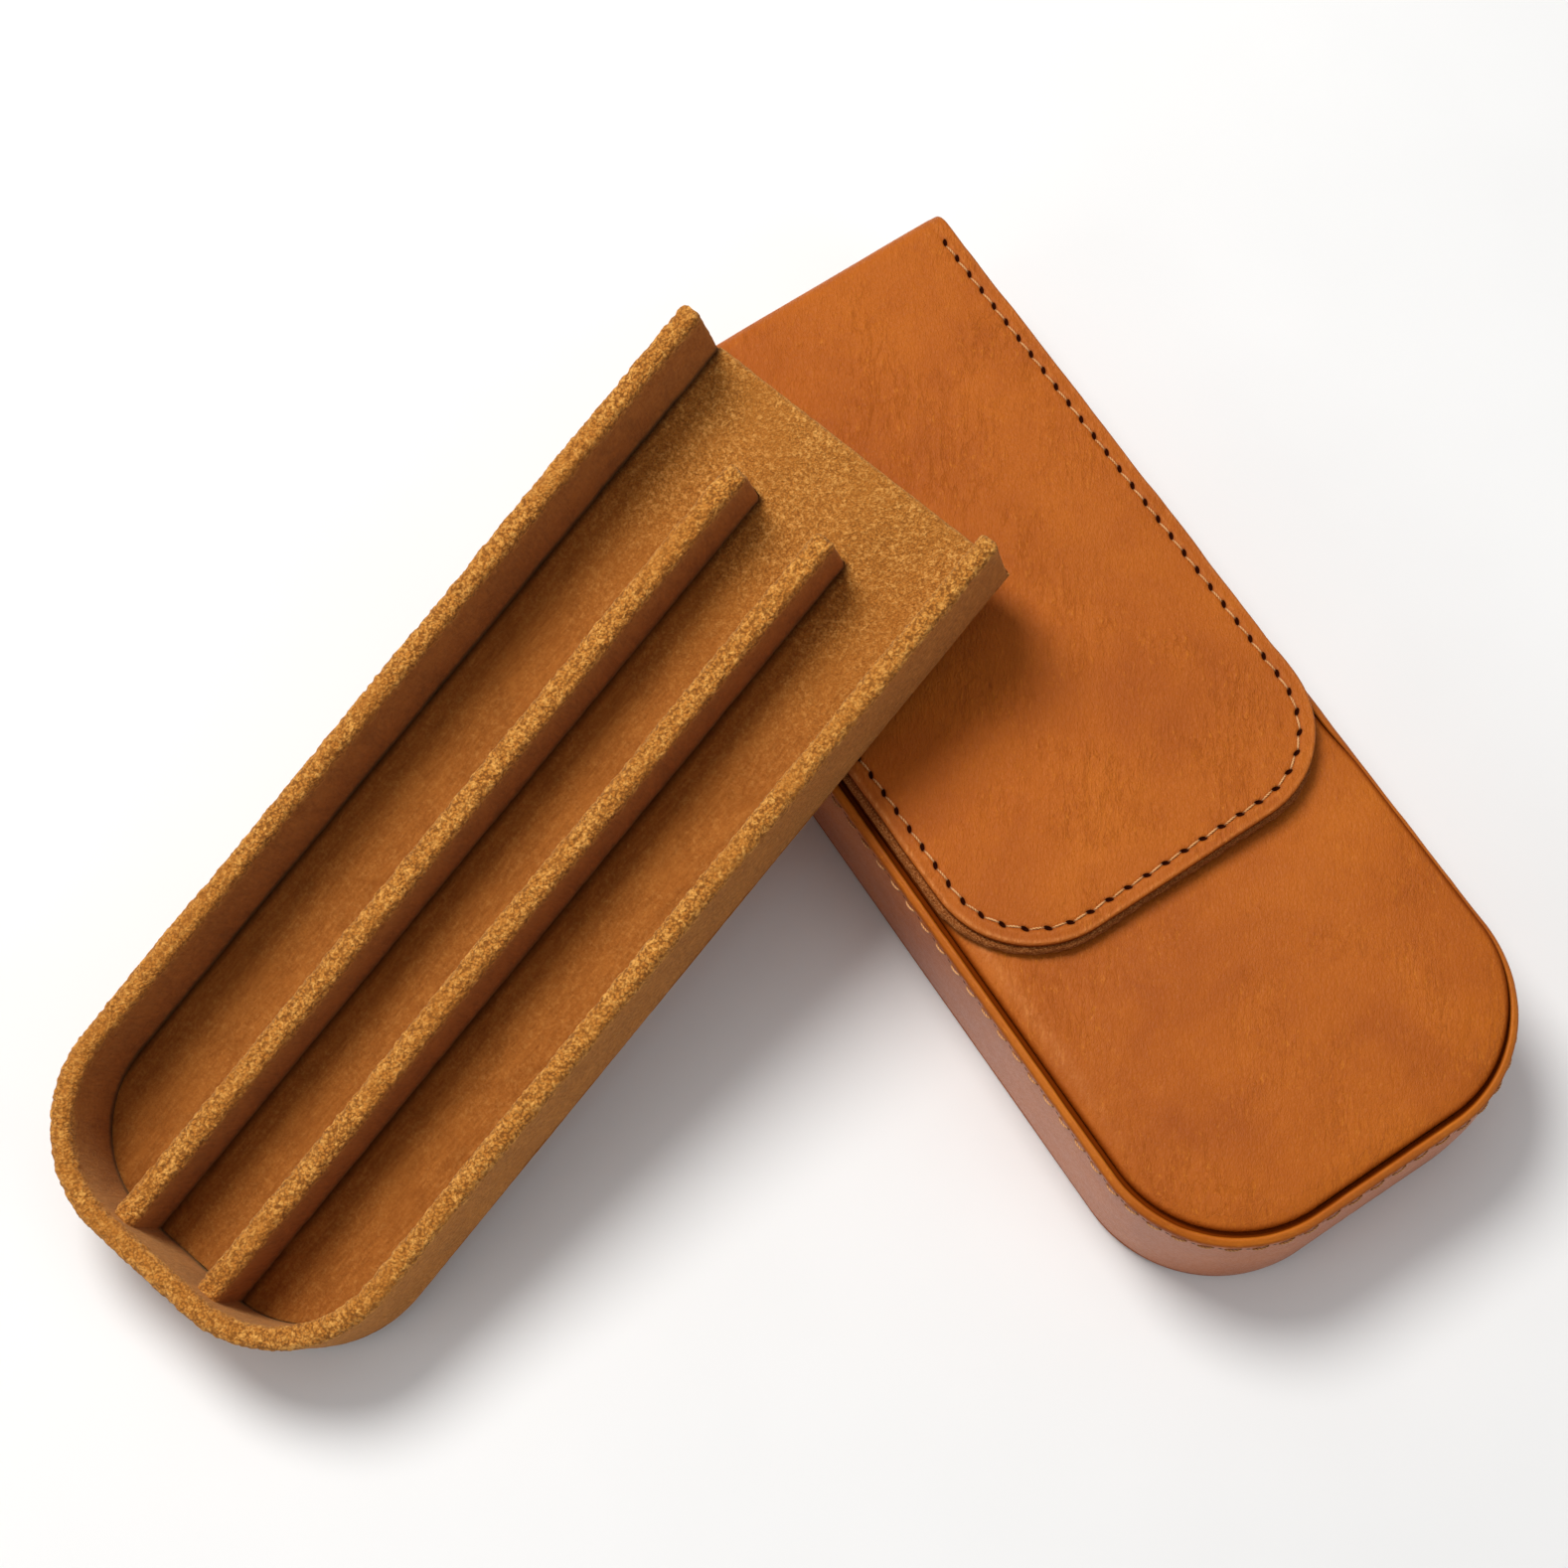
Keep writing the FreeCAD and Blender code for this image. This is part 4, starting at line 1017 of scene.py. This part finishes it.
sp = Path(SBL_LO[0], SBL_HI[0], SBL_HI[1], SBL_LO[1], 21.15, 1.2, 40, 30)
outline = densify(rounded([(0, SBL_LO[2]), (0, SBL_HI[2]), (0.6, SBL_HI[2]), (0.6, SBL_LO[2])], [0.1] * 4, 2), lambda m: 1.2)
co, quads, ngons, ss, pl, m = sweep(sp.P, sp.N, outline, 0.0)
ob = make("side_band_lining_sheet", co, quads, ngons, {"tex": np.column_stack([pl, ss, np.zeros(len(ss))]), "edge": np.zeros(len(ss)),
                                                       "nap": np.full(len(ss), 0.3)}, M_LIN, sharp=60, move=fuzz(0.02, 0.9, 53))
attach(ob, "case")
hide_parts("side_band_lining")

# spine lining: a thin strip standing behind the spine
xs = np.linspace(SLIN_LO[0] + 0.1, SLIN_HI[0] - 0.1, 120)
loop = np.array(densify(rounded([(SLIN_LO[1], SLIN_LO[2]), (SLIN_HI[1], SLIN_LO[2]), (SLIN_HI[1], SLIN_HI[2]), (SLIN_LO[1], SLIN_HI[2])], [0.25] * 4, 4), lambda m: 0.7))
K = len(loop)
c = np.concatenate([np.column_stack([np.full(K, x), loop[:, 0], loop[:, 1]]) for x in xs])
r = np.arange(len(xs))[:, None] * K + np.arange(K)[None]
rn = np.roll(r, -1, 1)
ob = make("spine_lining_strip", c, np.stack([r[:-1], r[1:], rn[1:], rn[:-1]], -1).reshape(-1, 4), [r[0], r[-1][::-1]],
          {"tex": np.column_stack([c[:, 0], c[:, 2] + 700, c[:, 1]]), "edge": np.full(len(c), 0.55)}, M_RAW, sharp=60, move=fuzz(0.03, 0.9, 54))
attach(ob, "flap_spine")
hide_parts("spine_lining")

# ------------------------------------------------------------------------ tray
cap = 0.9
tp = Path(-TW, TW, TL - cap, 0.0, TR, 0.36, 96, 56)
rim_r = 1.35
outline = rounded([(0.0, 0.86), (0.0, TH), (WALL, TH), (WALL, 0.86)], [0.3, rim_r, rim_r, 0.1], 6)
outline = densify(outline, lambda m: 0.36 if m[1] > TH - 2.4 else (0.55 if m[1] > TH - 4 else 1.15))
co, quads, ngons, ss, pl, m = sweep(tp.P, tp.N, outline, cap, 4)
pa = np.tile(np.array(outline), (m, 1))
hgt = pa[:, 1]
nap = 0.14 + 0.86 * smooth(TH - 3.4, TH - 0.8, hgt + 0.7 * fbm(np.column_stack([ss, pa]), 1.8, 2, 61))
outer = pa[:, 0] < 0.3
nap = np.maximum(nap, np.where(outer, 0.36, 0.0))
# painted shade low on the wall's inner face, in the crease along the floor
edge = np.where(pa[:, 0] > 3.3, smooth(4.6, 3.0, hgt), 0.0) * 0.85
tex = np.column_stack([ss, pl * 1.0, np.zeros(len(ss))])
P3 = co.copy()


def tray_wall_move(co, n):
    fine = fbm(P3 + 3.0, 0.85, 2, 71)
    low = fbm(P3, 11.0, 2, 72)
    k = 0.19 * fine * (0.22 + 0.78 * smooth(TH - 2.6, TH - 0.9, hgt)) + 0.10 * low + 0.05 * fbm(P3, 2.6, 2, 73)
    return tray_place(co + n * k[:, None])


wall = make("tray_wall_nap", co, quads, ngons, {"tex": tex, "nap": nap, "edge": edge}, M_RIM, move=tray_wall_move)
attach(wall, "tray")
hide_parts("tray_wall_suede")

# dividers
for sgn, word in ((-1, "left"), (1, "right")):
    x0 = 9.0 * sgn
    w2 = 2.0
    y_open, y_foot = TL - 15.0, WALL + 0.2
    n_r = int((y_open - y_foot) / 0.36)
    yy = np.linspace(y_open - 0.9, y_foot - 0.4, n_r)
    P = np.column_stack([np.full(n_r, x0), yy])
    N = np.tile(np.array([[-1.0, 0.0]]), (n_r, 1))
    z_lo, z_hi = 2.96, TH - 4.0
    outline = rounded([(-w2, z_lo), (-w2, z_hi), (w2, z_hi), (w2, z_lo)], [0.2, 1.45, 1.45, 0.2], 6)
    outline = densify(outline, lambda m: 0.36 if m[1] > z_hi - 2.4 else (0.55 if m[1] > z_hi - 4 else 1.15))
    co, quads, ngons, ss, pl, m = sweep(P, N, outline, 0.9, 4)
    pa = np.tile(np.array(outline), (m, 1))
    hg = pa[:, 1]
    nap = 0.10 + 0.90 * smooth(z_hi - 3.2, z_hi - 0.7, hg + 0.7 * fbm(np.column_stack([ss, pa]), 1.8, 2, 81 + sgn))
    # painted shade low on the divider, where it meets the floor
    edge = smooth(5.0, 3.0, hg) * 0.8
    Q3 = co.copy()
    hgc = hg.copy()

    def rib_move(co, n, Q3=Q3, hgc=hgc, z_hi=z_hi, sgn=sgn):
        k = 0.19 * fbm(Q3 + 9.0, 0.85, 2, 91 + sgn) * (0.22 + 0.78 * smooth(z_hi - 2.6, z_hi - 0.9, hgc)) + 0.05 * fbm(Q3, 2.6, 2, 93)
        out = co + n * k[:, None]
        out[:, 0] += 0.22 * fbm(np.column_stack([Q3[:, 1], np.zeros((len(Q3), 2))]), 34.0, 2, 95 + sgn) * smooth(3, 14, hgc)
        return tray_place(out)

    rib = make("divider_%s_nap" % word, co, quads, ngons,
               {"tex": np.column_stack([ss + 40.0 * sgn, pl, np.zeros(len(ss))]), "nap": nap, "edge": edge}, M_RIM, move=rib_move)
    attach(rib, "tray")
    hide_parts("divider_%s_suede" % word)

# floor
fi = WALL + 0.05
gp = Path(-(TW - fi), TW - fi, TL, fi, TR - fi, 0.52, 56, 38)
floor_lo, floor_hi = 2.1, 2.9
F, quads, ngons, dist, along, side = sheet(gp, edge_prof(floor_hi, floor_lo, 2.0, 0.2, 0.1, (1.2, 0.7), 3))
nap = 0.25 + 0.75 * smooth(TL - 52, TL - 14, F[:, 1] + 3 * fbm(F, 9.0, 2, 101))
# painted shade on the floor along the walls and beside the dividers
edge = smooth(1.5, 0.1, np.minimum(F[:, 0] - gp.xl, gp.xr - F[:, 0])) * 0.85
for x0 in (-9.0, 9.0):
    near = smooth(3.4, 2.1, np.abs(F[:, 0] - x0)) * (F[:, 1] < TL - 14.6)
    edge = np.maximum(edge, near * 0.75)
tex = np.column_stack([F[:, 0] + 700, F[:, 1], np.zeros(len(F))])
bag = Bag()
bag.add(F, quads, ngons, tex=tex, nap=nap, edge=edge)
# the floor's suede turned down over the board at the open end
xe = TW - fi - 0.05
xx = np.linspace(-xe, xe, int(2 * xe / 0.5))
ang = np.linspace(0, math.pi, 13)
z_t, z_b = floor_hi - 0.02, 0.90
loop = [(TL - 0.30 + 0.55 * math.sin(a) ** 0.7, (z_t + z_b) / 2 + (z_t - z_b) / 2 * math.cos(a)) for a in ang] + [(TL - 0.16, z_b), (TL - 0.16, z_t)]
loop = [(y, z) for y, z in loop[1:-3]] + [(TL - 0.14, z_b), (TL - 0.14, z_t)]
loop = np.array(loop)
K = len(loop)
c = np.concatenate([np.column_stack([np.full(K, x), loop[:, 0], loop[:, 1]]) for x in xx])
r = np.arange(len(xx))[:, None] * K + np.arange(K)[None]
rn = np.roll(r, -1, 1)
bag.add(c, np.stack([r[:-1], r[1:], rn[1:], rn[:-1]], -1).reshape(-1, 4), [r[0], r[-1][::-1]],
        tex=np.column_stack([c[:, 0] + 700, c[:, 1] + c[:, 2], np.zeros(len(c))]), nap=np.full(len(c), 0.9), edge=np.zeros(len(c)))
G3 = np.concatenate(bag.co)
gside = np.concatenate([side, np.ones(len(c))])
nap = np.concatenate([nap, np.full(len(c), 0.9)])


def floor_move(co, n):
    k = (0.085 * fbm(G3, 0.95, 2, 103) * nap + 0.10 * fbm(G3, 9.0, 2, 104)) * (gside > 0)
    return tray_place(co + n * k[:, None])


ob = bag.make("tray_floor_nap", material=M_TRAY, move=floor_move)
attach(ob, "tray")
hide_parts("tray_floor_suede")

# base
hp = Path(-TW, TW, TL, 0.0, TR, 0.8, 60, 40)
F, quads, ngons, dist, along, side = sheet(hp, edge_prof(0.84, 0.0, 3.0, 0.05, 0.62, (2.0, 1.2), 4))
H3 = F.copy()
ob = make("tray_base_nap", F, quads, ngons, {"tex": np.column_stack([F[:, 0] + 900, F[:, 1], F[:, 2]]), "nap": np.full(len(F), 0.45),
                                             "edge": np.zeros(len(F))}, M_TRAY,
          move=lambda co, n: tray_place(co + n * (0.03 * fbm(H3, 1.0, 2, 111))[:, None]))
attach(ob, "tray")
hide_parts("tray_base_suede")

# --------------------------------------------------- hidden CAD nodes' materials
for n in ("back_board", "side_band_board", "front_board", "flap_stiffener", "tray_wall_board", "tray_floor_board",
          "divider_left_core", "divider_right_core"):
    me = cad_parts[n].data
    me.materials.clear()
    me.materials.append(M_BOARD)
for n in ("front_magnet", "flap_magnet"):
    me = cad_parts[n].data
    me.materials.clear()
    me.materials.append(M_METAL)


# -------------------------------------------------------------- stage and light
def floor_mat():
    g = Nodes("pale_floor")
    v = g.coord()
    a = g.noise(v, 14.0, 3.0, 0.5)
    col = g.ramp(a, [(0.3, (0.86, 0.86, 0.86)), (0.7, (0.89, 0.89, 0.89))])
    return g.set(color=col, rough=0.75, spec=0.15)


bm = bmesh.new()
bmesh.ops.create_grid(bm, x_segments=8, y_segments=8, size=2.5)
me = bpy.data.meshes.new("stage_floor")
bm.to_mesh(me)
bm.free()
me.materials.append(floor_mat())
stage = bpy.data.objects.new("stage_floor", me)
stage.location = (0, 0, -0.0002)
bpy.context.scene.collection.objects.link(stage)

UP = Vector((0.5523, 0.8337, 0.0))           # the picture's upward direction on the table
RIGHT = Vector((0.8337, -0.5523, 0.0))
AIM = Vector((-0.03765, 0.02436, 0.0))


def area(name, right, up, height, size, power, color=(1, 1, 1), aim=AIM):
    light = bpy.data.lights.new(name, "AREA")
    light.shape = "DISK"
    light.size = size
    light.energy = power
    light.color = color
    ob = bpy.data.objects.new(name, light)
    ob.location = AIM + RIGHT * right + UP * up + Vector((0, 0, height))
    ob.rotation_mode = "QUATERNION"
    ob.rotation_quaternion = (aim - ob.location).to_track_quat("-Z", "Y")
    bpy.context.scene.collection.objects.link(ob)
    return ob


area("key", -0.29, 0.30, 0.80, 0.40, 6.9, (1.0, 0.985, 0.96))
area("fill", 0.62, -0.45, 0.50, 0.60, 1.05, (0.97, 0.985, 1.0))
low = area("low_left", -0.62, -0.34, 0.42, 0.50, 0.85, (1.0, 0.99, 0.975))
top_light = area("top", 0.0, 0.15, 1.05, 0.80, 1.2)
top_light.visible_glossy = False

world = bpy.data.worlds.new("pale_world")
world.use_nodes = True
world.node_tree.nodes["Background"].inputs[0].default_value = (0.97, 0.985, 1.0, 1.0)
world.node_tree.nodes["Background"].inputs[1].default_value = 0.24
bpy.context.scene.world = world

cam = bpy.data.cameras.new("camera")
cam.lens = 68.76
cam.sensor_width = 36.0
cam.sensor_fit = "HORIZONTAL"
cam.clip_start, cam.clip_end = 0.02, 20.0
cob = bpy.data.objects.new("camera", cam)
cob.location = Vector((-0.1312, -0.1168, 0.4789))
fwd = (AIM - cob.location).normalized()
side_v = fwd.cross(UP).normalized()
up_v = side_v.cross(fwd).normalized()
cob.matrix_world = Matrix.Translation(cob.location) @ Matrix((side_v, up_v, -fwd)).transposed().to_4x4()
bpy.context.scene.collection.objects.link(cob)
bpy.context.scene.camera = cob

vs = bpy.context.scene.view_settings
vs.view_transform = "Standard"
vs.look = "None"
vs.exposure = 0.0
vs.gamma = 1.0
